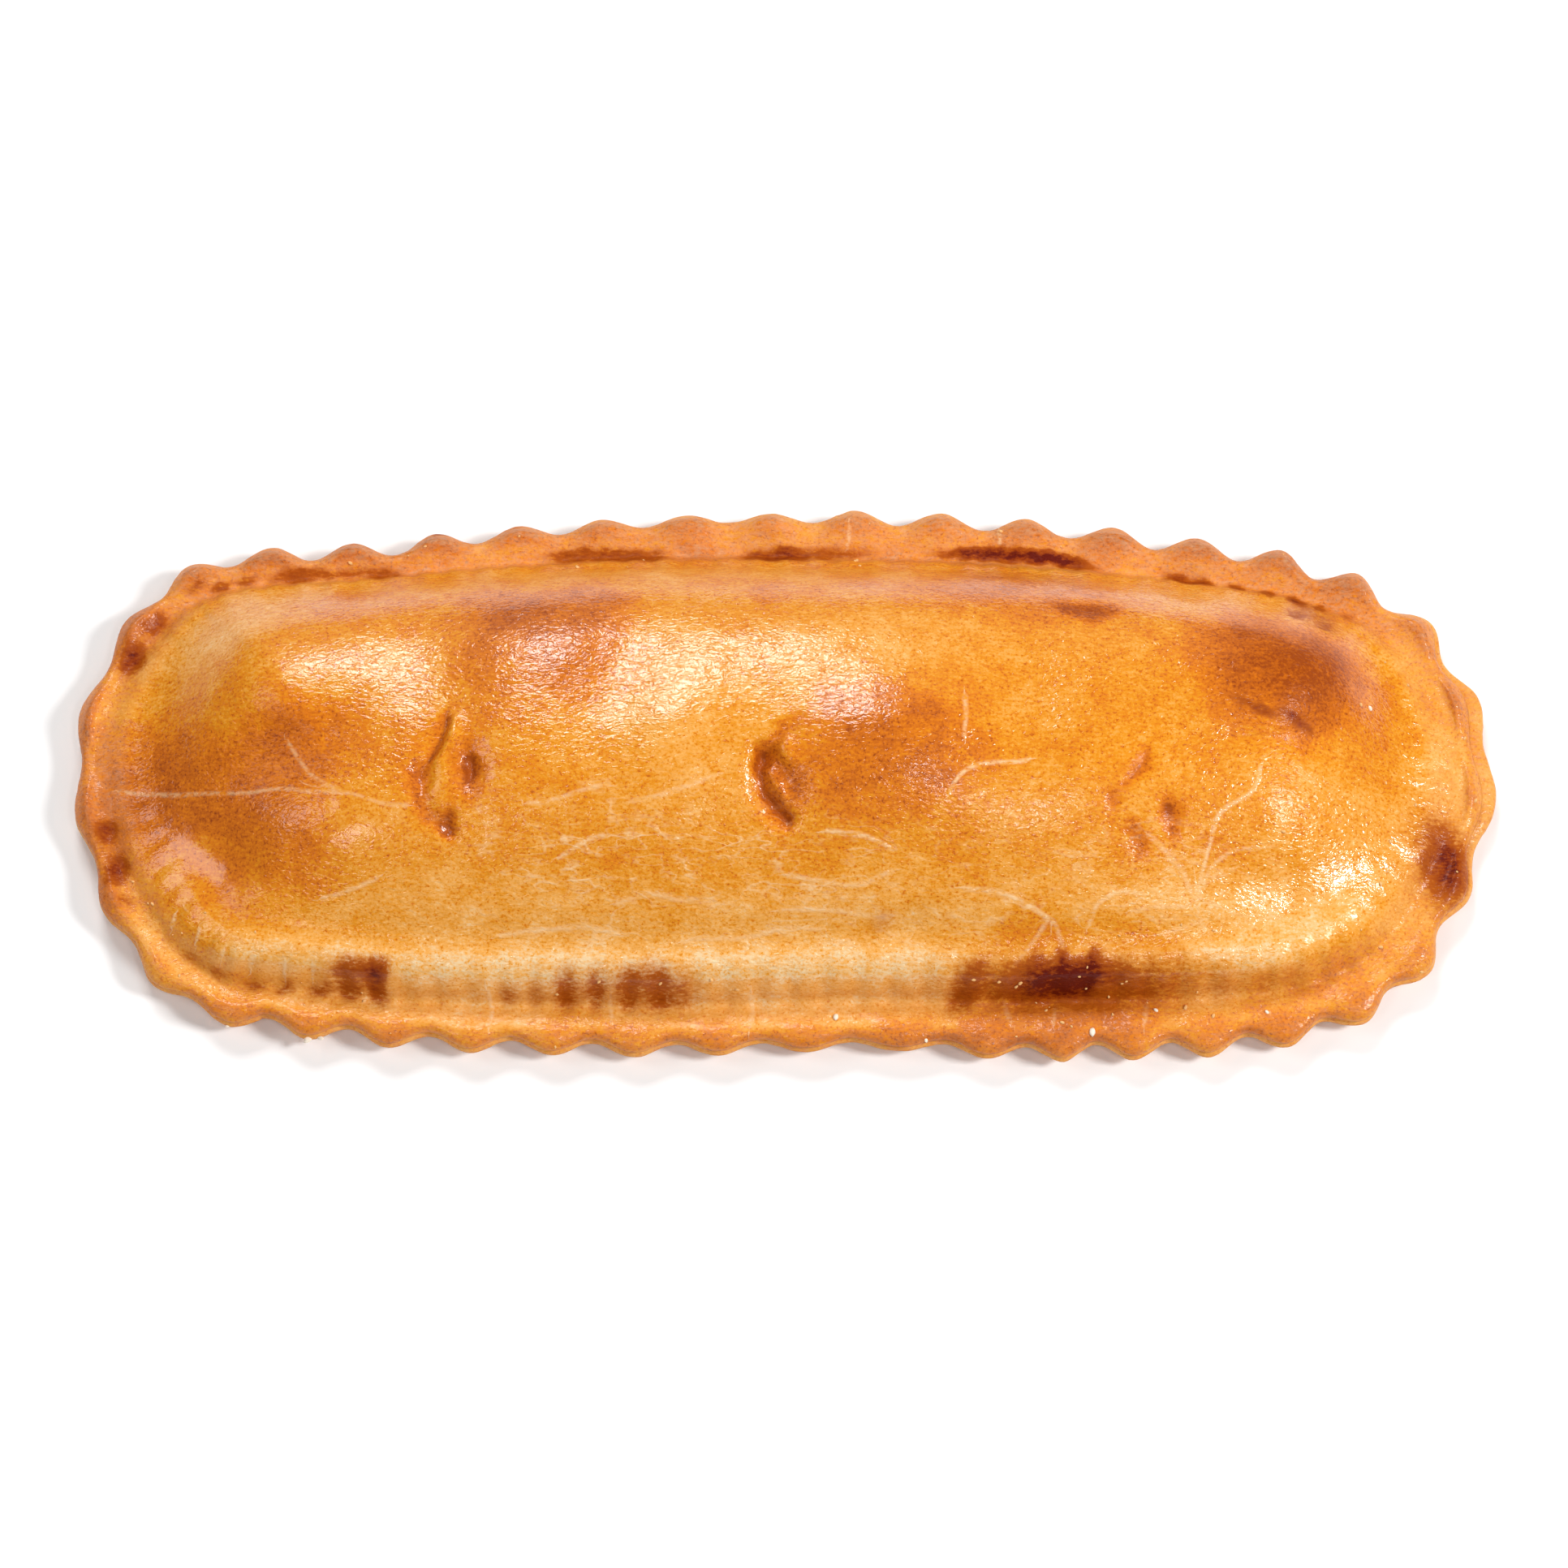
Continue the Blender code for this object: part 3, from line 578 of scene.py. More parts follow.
class StageSettings(bpy.types.PropertyGroup):
    """Light and camera."""

    key_power: FloatProperty(name="Rear light", description="Rear softbox, watts", default=3.6)
    right_power: FloatProperty(name="Right light", description="Right softbox, watts", default=5.4)
    left_power: FloatProperty(name="Left light", description="Left softbox, watts", default=1.1)
    card_power: FloatProperty(name="Left card", description="Left card, watts", default=0.6)
    spark_power: FloatProperty(name="Front card", description="Front card, watts", default=0.6)
    backdrop_power: FloatProperty(name="Backdrop", description="White wall behind, watts", default=1.5)
    fill_power: FloatProperty(name="Fill light", description="Front fill, watts", default=5.7)
    surround: FloatProperty(name="Surround", description="Brightness all round", default=0.08)
    distance: length_property("Distance", "From the camera to the pie", 576.7)
    elevation: FloatProperty(
        name="Elevation",
        description="How far the camera looks down",
        subtype="ANGLE",
        default=math.radians(70.0),
    )
    floor: colour_property("Floor", "The table under the pie", "#fbfbfb")


# --- Small tools -----------------------------------------------------------------------

# The kinds of node used most.
MATH = "ShaderNodeMath"
VECTOR_MATH = "ShaderNodeVectorMath"
NOISE = "ShaderNodeTexNoise"
MAP_RANGE = "ShaderNodeMapRange"
NAMED_ATTRIBUTE = "GeometryNodeInputNamedAttribute"
SET_POSITION = "GeometryNodeSetPosition"
MAPPING = "ShaderNodeMapping"
MIX = "ShaderNodeMix"
PRINCIPLED = "ShaderNodeBsdfPrincipled"
COMBINE = "ShaderNodeCombineXYZ"
SURFACE_OUTPUT = "ShaderNodeOutputMaterial"

def add_node(tree, kind, inputs=None, **settings):
    """Adds a node and returns its outputs. An input is given a value or a link."""
    node = tree.nodes.new(kind)
    for name, value in settings.items():
        setattr(node, name, value)
    for key, value in (inputs or {}).items():
        if isinstance(value, bpy.types.NodeSocket):
            tree.links.new(value, node.inputs[key])
        else:
            node.inputs[key].default_value = value
    return node.outputs


def socket_title(setting):
    """What a tree calls its input for this setting."""
    return setting.replace("_", " ").title()


def new_tree(name, inputs):
    """An empty Geometry Nodes tree with a geometry in and out and these inputs."""
    tree = bpy.data.node_groups.new(name, "GeometryNodeTree")
    tree.interface.new_socket("Geometry", in_out="OUTPUT", socket_type="NodeSocketGeometry")
    kinds = {"Geometry": "Geometry", "Seed": "Int", "Material": "Material"}
    for title in ("Geometry", *inputs):
        kind = "NodeSocket" + kinds.get(title, "Float")
        tree.interface.new_socket(title, in_out="INPUT", socket_type=kind)
    return tree


def finish_tree(tree, geometry, material):
    """Ends a tree: instances become faces and get their material."""
    made = add_node(tree, "GeometryNodeRealizeInstances", {"Geometry": geometry})
    dressed = add_node(tree, "GeometryNodeSetMaterial", {"Geometry": made[0], "Material": material})
    add_node(tree, "NodeGroupOutput", {"Geometry": dressed[0]})


def run_tree(name, mesh, tree, values):
    """The mesh that the tree makes of this one."""
    carrier = bpy.data.objects.new(name, mesh)
    bpy.context.scene.collection.objects.link(carrier)
    modifier = carrier.modifiers.new(tree.name, "NODES")
    modifier.node_group = tree
    for item in tree.interface.items_tree:
        if item.in_out == "INPUT" and item.name in values:
            modifier[item.identifier] = values[item.name]
    depsgraph = bpy.context.evaluated_depsgraph_get()
    made = bpy.data.meshes.new_from_object(
        carrier.evaluated_get(depsgraph), preserve_all_data_layers=True, depsgraph=depsgraph
    )
    bpy.data.objects.remove(carrier)
    return made


def add_piece(name, mesh):
    """Shows a finished mesh as a piece that rides on the part."""
    mesh.name = name
    mesh.shade_smooth()
    piece = bpy.data.objects.new(name, mesh)
    bpy.context.scene.collection.objects.link(piece)
    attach(piece, "root")
    return piece


def smooth(value, low, high):
    """0 below low, 1 above high and an easy curve between."""
    t = np.clip((value - low) / (high - low), 0.0, 1.0)
    return t * t * (3 - 2 * t)


def turned(points, x, y, turn):
    """How far along and across the points lie from a centre, in a turned frame."""
    c = math.cos(math.radians(turn))
    s = math.sin(math.radians(turn))
    dx = points[:, 0] - x
    dy = points[:, 1] - y
    return dx * c + dy * s, dy * c - dx * s


def wander(points, size, seeds):
    """Smooth noise between about -1 and 1 for each point, a column for each seed."""
    plan = points[:, :2] / size
    columns = [[noise.noise(Vector((x, y, seed))) for x, y in plan] for seed in seeds]
    return np.array(columns).T


def mounds(points, rows):
    """The sum of soft mounds: x, y, half length, half width, turn and height."""
    height = np.zeros(len(points))
    for x, y, half_length, half_width, turn, rise in rows:
        along, across = turned(points, x, y, turn)
        height += rise * np.exp(-((along / half_length) ** 2) - (across / half_width) ** 2)
    return height


def curve_through(knots, steps, closed=False):
    """A smooth curve through the knots, whose first two values are the place. Each span
    gets its own number of steps. An open curve ends on its last knot."""
    if closed:
        padded = np.concatenate([knots[-1:], knots, knots[:2]])
    else:
        first = 2 * knots[:1] - knots[1:2]
        last = 2 * knots[-1:] - knots[-2:-1]
        padded = np.concatenate([first, knots, last])
    gap = np.linalg.norm(np.diff(padded[..., :2], axis=0), axis=-1, keepdims=True)
    slope = np.diff(padded, axis=0) / gap
    tangent = (slope[:-1] * gap[1:] + slope[1:] * gap[:-1]) / (gap[:-1] + gap[1:])
    rows = []
    for k, count in enumerate(steps):
        t = np.linspace(0.0, 1.0, count, endpoint=False)
        t = t.reshape(-1, *[1] * (knots.ndim - 1))
        start, end = padded[k + 1], padded[k + 2]
        leave, arrive = tangent[k] * gap[k + 1], tangent[k + 1] * gap[k + 1]
        rows.append(
            (2 * t**3 - 3 * t**2 + 1) * start
            + (t**3 - 2 * t**2 + t) * leave
            + (3 * t**2 - 2 * t**3) * end
            + (t**3 - t**2) * arrive
        )
    if not closed:
        rows.append(knots[-1:])
    return np.concatenate(rows)


# --- The shape of the crust ------------------------------------------------------------


def edge_columns():
    """One column of the mesh for each step round the edge, from the left tip along the
    front to the right one and back along the rear, in two halves that pair up."""
    table = np.array(EDGE)
    line = curve_through(table[:, :2], [SPAN_STEPS] * len(table), closed=True)
    forward = np.roll(line, -1, 0) - np.roll(line, 1, 0)
    forward /= np.linalg.norm(forward, axis=1)[:, None]
    normal = np.stack([forward[:, 1], -forward[:, 0]], 1)
    step = np.linalg.norm(np.roll(line, -1, 0) - line, axis=1)
    place = np.arange(len(line)) / SPAN_STEPS
    knots = np.arange(len(table))
    width, depth, foot = (np.interp(place, knots, table[:, k], period=len(table)) for k in (2, 3, 4))
    flutes = np.cumsum(step / width)
    turn = (flutes - flutes[0]) * FLUTE_COUNT / flutes[-1] + FLUTE_START
    length = np.cumsum(step) - step
    total = length[-1] + step[-1]
    left = length[np.argmin(line[:, 0])]
    right = length[np.argmax(line[:, 0])]
    front = (right - left) % total
    share = np.arange(COLUMNS // 2) / (COLUMNS // 2)
    s = np.concatenate([left + front * share, right + (total - front) * share]) % total

    def at(values):
        return np.interp(s, length, values, period=total)

    out = np.stack([at(normal[:, 0]), at(normal[:, 1])], 1)
    return {
        "edge": np.stack([at(line[:, 0]), at(line[:, 1])], 1),
        "out": out / np.linalg.norm(out, axis=1)[:, None],
        "wave": at(np.cos(2 * math.pi * turn)),
        "depth": at(depth),
        "foot": at(foot),
    }


def column_paths(cols):
    """Each column's way from the edge to the crown, and the length so far along it. A
    front column and the rear one facing it end on the same point of the crown."""
    start = cols["edge"]
    mirror = (-np.arange(COLUMNS)) % COLUMNS
    share = (start[:, 0] + start[mirror, 0]) / 2 / CROWN_HALF_LENGTH
    soft = share / (1 + np.abs(share) ** CROWN_END_POWER) ** (1 / CROWN_END_POWER)
    end = np.stack([soft * CROWN_HALF_LENGTH, np.full(COLUMNS, CROWN_Y)], 1)
    pull = start - cols["out"] * PATH_PULL
    aim = end + (start - end) * PATH_AIM
    t = np.linspace(0.0, 1.0, PATH_STEPS + 1)[:, None, None]
    path = ((1 - t) ** 3 * start + 3 * t * (1 - t) ** 2 * pull + 3 * t**2 * (1 - t) * aim + t**3 * end)
    steps = np.linalg.norm(np.diff(path, axis=0), axis=2)
    far = np.concatenate([np.zeros((1, COLUMNS)), np.cumsum(steps, axis=0)])
    return path, far, np.abs(soft)


def places_along(path, far, inset):
    """The point of each column at each of its insets."""
    points = np.empty((*inset.shape, 2))
    for c in range(COLUMNS):
        for axis in (0, 1):
            points[:, c, axis] = np.interp(inset[:, c], far[:, c], path[:, c, axis])
    return points


def knot(*values):
    """One knot of the profile for every column: its inset and height, how far a tooth
    mark pushes it in and down, its share of the lobes' swelling, tone and wash."""
    return np.stack([np.broadcast_to(value, COLUMNS) for value in values], 1)


def by_side(cols, sizes):
    """Each column's share of the sizes at the rear, the front and the ends, which blend
    into each other round the corners."""
    turn = (np.arange(COLUMNS) / COLUMNS + 0.5) % 1.0 - 0.5
    reach = np.exp(-((turn / SIDE_BLEND) ** 2))
    facing = np.fft.ifft(np.fft.fft(cols["out"][:, 1]) * np.fft.fft(reach / reach.sum())).real
    rear = np.clip(facing, 0.0, 1.0) ** 2
    front = np.clip(-facing, 0.0, 1.0) ** 2
    return rear * sizes[0] + front * sizes[1] + (1 - rear - front) * sizes[2]


def shoulder_relief(distance):
    """The proud shoulder and the groove behind it."""
    forms = SHOULDER_RELIEF
    return sum(rise * np.exp(-(((distance - place) / width) ** 2)) for place, width, rise in forms)


def dome_height(cols, share, length, ends):
    """Height of the plain dome at a share of the way from the shoulder to the crown."""
    low = FOOT_Z + by_side(cols, WALL_RISE)
    top = CROWN_Z - END_DROP * ends**END_DROP_POWER
    roof = by_side(cols, LID_ROOF)
    bulge = (1 - share ** by_side(cols, LID_START)) ** by_side(cols, LID_POWER)
    rise = 1 - (1 - roof) * bulge - roof * (1 - share) ** ROOF_POWER
    ledge = shoulder_relief(share * length) - shoulder_relief(0.0) * (1 - share)
    return low + (top - low) * rise + ledge * by_side(cols, (0.0, 1.0, 0.0))


def profile(cols, length, ends):
    """Every ring's values for every column, from the middle of the underside round the
    rim and up to the crown."""
    lip = LIP * np.exp(-((np.linalg.norm(cols["edge"] - LIP_PLACE, axis=1) / LIP_REACH) ** 2))
    rise = by_side(cols, WALL_RISE)
    run = by_side(cols, WALL_RUN)
    rim_wash = by_side(cols, RIM_WASH)
    foot = cols["foot"]
    shoulder = foot + run
    across = length - shoulder
    base = [
        knot(BASE_INSET + share * (length - BASE_INSET), 0.0, 0, 0, 0, UNDERSIDE_TONE, 0)
        for share in BASE_SHARES
    ]
    knots = [
        knot(BASE_INSET, 0.0, 0, 0, 0, UNDERSIDE_TONE, 0),
        knot(BASE_CURL_INSET, BASE_CURL, 0, 0, 0, CURL_TONE, 0),
    ]
    for inset, height, upper, tone in RIM_SIDE:
        z = RIM_LIFT + height * SHEET
        knots.append(knot(inset + lip * upper, z, 0, 0, 0, tone, rim_wash * height / 2))
    tone = by_side(cols, RIM_TONE) + TIP_TONE * cols["wave"]
    knots.append(knot(RIM_TOP_INSET + lip, RIM_TOP, 0, 0, 1.0, tone, rim_wash))
    dip_inset = np.maximum(RIM_DIP_PLACE * foot, RIM_TOP_INSET + lip + RIM_FLAT)
    tone = by_side(cols, DIP_TONE)
    knots.append(knot(dip_inset, RIM_TOP - by_side(cols, RIM_DIP), 0, 0, 0.5, tone, rim_wash))
    for ahead, up, inward, down, tones in WALL_SIDE:
        inset = foot + ahead * run
        z = FOOT_Z + up * rise + (1 - up) * by_side(cols, FOOT_FILL)
        wash = rim_wash + (1 - rim_wash) * up ** by_side(cols, WASH_FADE)
        knots.append(knot(inset, z, inward, down, 0, by_side(cols, tones), wash))
    z = dome_height(cols, SHOULDER_SHARE, across, ends)
    low = by_side(cols, WALL_SIDE[-1][-1])
    middle = by_side(cols, SLOPE_TONE)
    knots.append(knot(shoulder + SHOULDER_SHARE * across, z, 0, 0, 0, low, 1))
    side = curve_through(np.stack(knots), PROFILE_STEPS)
    dome = []
    for step in range(1, DOME_STEPS + 1):
        share = SHOULDER_SHARE + (1 - SHOULDER_SHARE) * (step / DOME_STEPS) ** DOME_CROWDING
        tone = low + (middle - low) * smooth(share, *SLOPE_BLEND)
        tone = tone + (LID_TONE - middle) * smooth(share, *LID_BLEND)
        z = dome_height(cols, share, across, ends)
        dome.append(knot(shoulder + share * across, z, 0, 0, 0, tone, 1))
    return np.concatenate([np.stack(base), side, np.stack(dome)])


def ring_faces(ring_count):
    """Faces between the rings. The first and the last ring close like a zip."""
    index = np.arange(ring_count * COLUMNS).reshape(ring_count, COLUMNS)
    mirror = (-np.arange(COLUMNS)) % COLUMNS
    zipped = np.minimum(np.arange(COLUMNS), mirror)
    index[0] = index[0][zipped]
    index[-1] = index[-1][zipped]
    ahead = np.roll(index, -1, 1)
    faces = np.stack([index[:-1], ahead[:-1], ahead[1:], index[1:]], 2)
    return faces.reshape(-1, 4)


def plain_crust():
    """The crust without flutes, tooth marks and fine relief. What the nodes need to add
    those is stored on its points."""
    cols = edge_columns()
    path, far, ends = column_paths(cols)
    length = far[-1]
    rings = profile(cols, length, ends)
    inset = np.clip(rings[..., 0], 0.0, length)
    plan = places_along(path, far, inset)
    shoulder = cols["foot"] + by_side(cols, WALL_RUN)
    up_the_dome = (rings[..., 0] - shoulder) / (length - shoulder)
    z = rings[..., 1].copy()
    above = z > RIM_TOP
    lump = mounds(plan.reshape(-1, 2), LUMPS).reshape(z.shape)
    z += lump * smooth(up_the_dome, 0.0, LUMP_START) * above
    points = np.concatenate([plan, z[..., None]], 2).reshape(-1, 3)
    mesh = bpy.data.meshes.new("plain_crust")
    mesh.from_pydata(points * MM, [], ring_faces(len(rings)).tolist())
    front = 0.5 - 0.5 * cols["out"][:, 1]
    puff = LOBE_PUFF_BACK + (LOBE_PUFF_FRONT - LOBE_PUFF_BACK) * front
    turn = 2 * math.pi * np.arange(COLUMNS) / COLUMNS * CRIMP_COUNT
    tooth = (0.5 + 0.5 * np.cos(turn)) ** TOOTH_POWER
    layers = {
        "inset": inset * MM,
        "reach": np.broadcast_to(cols["depth"] * cols["wave"] * MM, inset.shape),
        "tooth": np.broadcast_to(tooth, inset.shape),
        "tooth_in": rings[..., 2] * tooth * by_side(cols, TOOTH_SHARE),
        "tooth_down": rings[..., 3] * tooth * by_side(cols, TOOTH_SHARE),
        "swell": rings[..., 4] * puff * (0.5 + 0.5 * cols["wave"]) * MM,
        "tone": rings[..., 5],
        "wash": np.clip(rings[..., 6], 0.0, 1.0),
        "lid": smooth(up_the_dome, 0.0, LID_FADE) * above,
    }
    for name, values in layers.items():
        store(mesh, name, values.ravel())
    out = np.zeros((*inset.shape, 3))
    out[..., :2] = cols["out"]
    made = mesh.attributes.new("out", "FLOAT_VECTOR", "POINT")
    made.data.foreach_set("vector", out.astype(np.float32).ravel())
    shape = bmesh.new()
    shape.from_mesh(mesh)
    loose = [vert for vert in shape.verts if not vert.link_faces]
    bmesh.ops.delete(shape, geom=loose, context="VERTS")
    bmesh.ops.remove_doubles(shape, verts=shape.verts, dist=MERGE * MM)
    bmesh.ops.recalc_face_normals(shape, faces=shape.faces)
    shape.to_mesh(mesh)
    shape.free()
    return mesh


def store(mesh, name, values):
    """Keeps one number for each point of the mesh."""
    layer = mesh.attributes.get(name) or mesh.attributes.new(name, "FLOAT", "POINT")
    layer.data.foreach_set("value", np.asarray(values, np.float32))


def stored(mesh, name):
    """The numbers kept for the points of the mesh."""
    values = np.empty(len(mesh.vertices), np.float32)
    mesh.attributes[name].data.foreach_get("value", values)
    return values.astype(float)


def points_of(mesh):
    """The mesh's points in millimetres."""
    points = np.empty(len(mesh.vertices) * 3, np.float32)
    mesh.vertices.foreach_get("co", points)
    return points.reshape(-1, 3).astype(float) / MM


def relief_tree():
    """Flutes, swollen lobes, tooth marks, low blisters and the grain of the dough."""
    settings = [socket_title(name) for name in CrustShape.__annotations__]
    tree = new_tree("crust_relief", [*settings, "Material"])
    given = add_node(tree, "NodeGroupInput")
    read = {socket.name: socket for socket in given}
    for name in ("inset", "reach", "tooth_in", "tooth_down", "swell", "lid"):
        read[name] = add_node(tree, NAMED_ATTRIBUTE, {"Name": name}, data_type="FLOAT")[0]
    out = add_node(tree, NAMED_ATTRIBUTE, {"Name": "out"}, data_type="FLOAT_VECTOR")[0]
    # The flutes reach outwards and fade by exp(-(inset / fade)^2). The tooth marks push
    # in and down, and the lobes swell up.
    for name, operation, first, second in (
        ("ratio", "DIVIDE", "inset", "Flute Fade"),
        ("square", "MULTIPLY", "ratio", "ratio"),
        ("minus", "MULTIPLY", "square", -1.0),
        ("fade", "EXPONENT", "minus", 0.0),
        ("flute", "MULTIPLY", "reach", "fade"),
        ("pushed", "MULTIPLY", "tooth_in", "Tooth Depth"),
        ("outwards", "SUBTRACT", "flute", "pushed"),
        ("pressed", "MULTIPLY", "tooth_down", "Tooth Depth"),
        ("upwards", "SUBTRACT", "swell", "pressed"),
    ):
        inputs = {0: read[first], 1: read.get(second, second)}
        read[name] = add_node(tree, MATH, inputs, operation=operation)[0]
    sideways = add_node(tree, VECTOR_MATH, {0: out, "Scale": read["outwards"]}, operation="SCALE")
    lift = add_node(tree, COMBINE, {"Z": read["upwards"]})
    offset = add_node(tree, VECTOR_MATH, {0: sideways[0], 1: lift[0]}, operation="ADD")
    shaped = add_node(tree, SET_POSITION, {"Geometry": given["Geometry"], "Offset": offset[0]})
    # Blisters, puckers and grain: along the normal, and flatter on the lid.
    position = add_node(tree, "GeometryNodeInputPosition")
    normal = add_node(tree, "GeometryNodeInputNormal")
    height = 0.0
    for size, tall, detail in (
        ("Blister Size", "Blister Height", 2.0),
        ("Pucker Size", "Pucker Height", 1.0),
        ("Grain Size", "Grain Height", 1.0),
    ):
        scale = add_node(tree, MATH, {0: 1.0, 1: given[size]}, operation="DIVIDE")
        bumps = add_node(
            tree,
            NOISE,
            {
                "Vector": position[0],
                "W": given["Seed"],
                "Scale": scale[0],
                "Detail": detail,
                "Roughness": 0.5,
            },
            noise_dimensions="4D",
        )
        signed = add_node(tree, MATH, {0: bumps[0], 1: 2.0, 2: -1.0}, operation="MULTIPLY_ADD")
        height = add_node(
            tree, MATH, {0: signed[0], 1: given[tall], 2: height}, operation="MULTIPLY_ADD"
        )[0]
    kept = add_node(tree, MATH, {0: read["lid"], 1: -LID_CALM, 2: 1.0}, operation="MULTIPLY_ADD")
    height = add_node(tree, MATH, {0: height, 1: kept[0]}, operation="MULTIPLY")
    rough = add_node(tree, VECTOR_MATH, {0: normal[0], "Scale": height[0]}, operation="SCALE")
    made = add_node(tree, SET_POSITION, {"Geometry": shaped[0], "Offset": rough[0]})
    finish_tree(tree, made[0], given["Material"])
    return tree


def lumpy_grain(tree, size, seed):
    """One uneven grain, a little longer than wide."""
    ball = add_node(tree, "GeometryNodeMeshIcoSphere", {"Radius": 0.5, "Subdivisions": 2})
    position = add_node(tree, "GeometryNodeInputPosition")
    bumps = add_node(
        tree,
        NOISE,
        {"Vector": position[0], "W": seed, "Scale": LUMPS_ACROSS, "Detail": 1.0},
        noise_dimensions="4D",
    )
    push = add_node(
        tree, MATH, {0: bumps[0], 1: GRAIN_LUMPS, 2: -GRAIN_LUMPS / 2}, operation="MULTIPLY_ADD"
    )
    offset = add_node(tree, VECTOR_MATH, {0: position[0], "Scale": push[0]}, operation="SCALE")
    lumpy = add_node(tree, SET_POSITION, {"Geometry": ball["Mesh"], "Offset": offset[0]})
    whole = add_node(tree, COMBINE, {"X": size, "Y": size, "Z": size})
    stretch = add_node(tree, VECTOR_MATH, {0: whole[0], 1: GRAIN_SHAPE}, operation="MULTIPLY")
    return add_node(tree, "GeometryNodeTransform", {"Geometry": lumpy[0], "Scale": stretch[0]})[0]


def grains_tree(name, scattered):
    """Grains that lie on a surface, or one on each point of a mesh, sized by the points'
    own numbers."""
    tree = new_tree(name, ["Density", "Grain Size", "Sink", "Seed", "Material"])
    given = add_node(tree, "NodeGroupInput")
    number = add_node(tree, NAMED_ATTRIBUTE, {"Name": "dust"}, data_type="FLOAT")[0]
    if scattered:
        thick = add_node(tree, MATH, {0: number, 1: given["Density"]}, operation="MULTIPLY")
        places = add_node(
            tree,
            "GeometryNodeDistributePointsOnFaces",
            {"Mesh": given["Geometry"], "Density": thick[0], "Seed": given["Seed"]},
        )["Points"]
        number = add_node(
            tree,
            "FunctionNodeRandomValue",
            {"Min": SMALLEST, "Max": LARGEST, "Seed": given["Seed"]},
            data_type="FLOAT",
        )["Value"]
    else:
        places = add_node(tree, "GeometryNodeMeshToPoints", {"Mesh": given["Geometry"]})[0]
    turns = add_node(
        tree,
        "FunctionNodeRandomValue",
        {"Min": (-TILT, -TILT, 0.0), "Max": (TILT, TILT, FULL_TURN), "Seed": given["Seed"]},
        data_type="FLOAT_VECTOR",
    )["Value"]
    turns = add_node(tree, "FunctionNodeEulerToRotation", {"Euler": turns})[0]
    placed = add_node(
        tree,
        "GeometryNodeInstanceOnPoints",
        {
            "Points": places,
            "Instance": lumpy_grain(tree, given["Grain Size"], given["Seed"]),
            "Rotation": turns,
            "Scale": number,
        },
    )
    width = add_node(tree, MATH, {0: given["Grain Size"], 1: given["Sink"]}, operation="MULTIPLY")
    up = add_node(tree, COMBINE, {"Z": width[0]})
    lifted = add_node(
        tree, "GeometryNodeTranslateInstances", {"Instances": placed[0], "Translation": up[0]}
    )
    finish_tree(tree, lifted[0], given["Material"])
    return tree


def gouges(points):
    """How deep the gouges sink the lid at each point, and how much they brown it."""
    places = points[:, :2] + GOUGE_WANDER * wander(points, RAGGED_SIZE, (11, 13))
    sink = np.zeros(len(points))
    brown = np.zeros(len(points))
    for *line, browning in GOUGES:
        knots = np.array(line)
        fine = curve_through(knots, [GOUGE_STEPS] * (len(knots) - 1))
        nearest = np.zeros(len(points))
        deepest = np.zeros(len(points))
        for x, y, width, depth in fine:
            away = np.exp(-(((places - (x, y)) ** 2).sum(1)) / width**2)
            nearest = np.maximum(nearest, away)
            deepest = np.maximum(deepest, away * abs(depth))
        sink += deepest * np.sign(line[0][3])
        brown += nearest * browning
    return sink, brown


def press_lid(mesh):
    """Makes the faces round the vents finer, then sinks the vents and the dents."""
    shape = bmesh.new()
    shape.from_mesh(mesh)
    middles = np.array([(edge.verts[0].co + edge.verts[1].co) / 2 for edge in shape.edges])
    middles /= MM
    on_lid = middles[:, 2] > LID_Z
    deep = np.zeros(len(middles))
    deep[on_lid] = np.abs(gouges(middles[on_lid])[0])
    near = [edge for edge, sunk in zip(shape.edges, deep) if sunk > GOUGE_NEAR]
    bmesh.ops.subdivide_edges(shape, edges=near, cuts=1, use_grid_fill=True)
    bmesh.ops.triangulate(shape, faces=[face for face in shape.faces if len(face.verts) > 4])
    shape.to_mesh(mesh)
    shape.free()
    points = points_of(mesh)
    above = points[:, 2] > RIM_LIFT + SHEET
    sink = np.zeros(len(points))
    sink[above] = mounds(points[above], DENTS)
    on_lid = points[:, 2] > LID_Z
    sink[on_lid] += gouges(points[on_lid])[0]
    points[:, 2] -= sink
    return points


def fit_inside(points):
    """The points shrunk just enough to stay inside the solid's box."""
    low, high = (np.array(corner) / MM for corner in CAD_BOX)
    middle = (low + high) / 2
    centre = (points.max(0) + points.min(0)) / 2
    size = points.max(0) - points.min(0)
    scale = np.minimum(1.0, (high - low) / size * BOX_SHARE)
    made = middle + (points - centre) * scale
    made[:, 2] = low[2] + (points[:, 2] - points[:, 2].min()) * scale[2]
    return made


def patches(points, rows):
    """How strongly soft-edged patches cover each point."""
    cover = np.zeros(len(points))
    for x, y, half_length, half_width, turn, strength, softness in rows:
        along, across = turned(points, x, y, turn)
        reach = np.hypot(along / half_length, across / half_width)
        cover += strength * (1 - smooth(reach, 1 - softness, 1 + softness))
    return cover


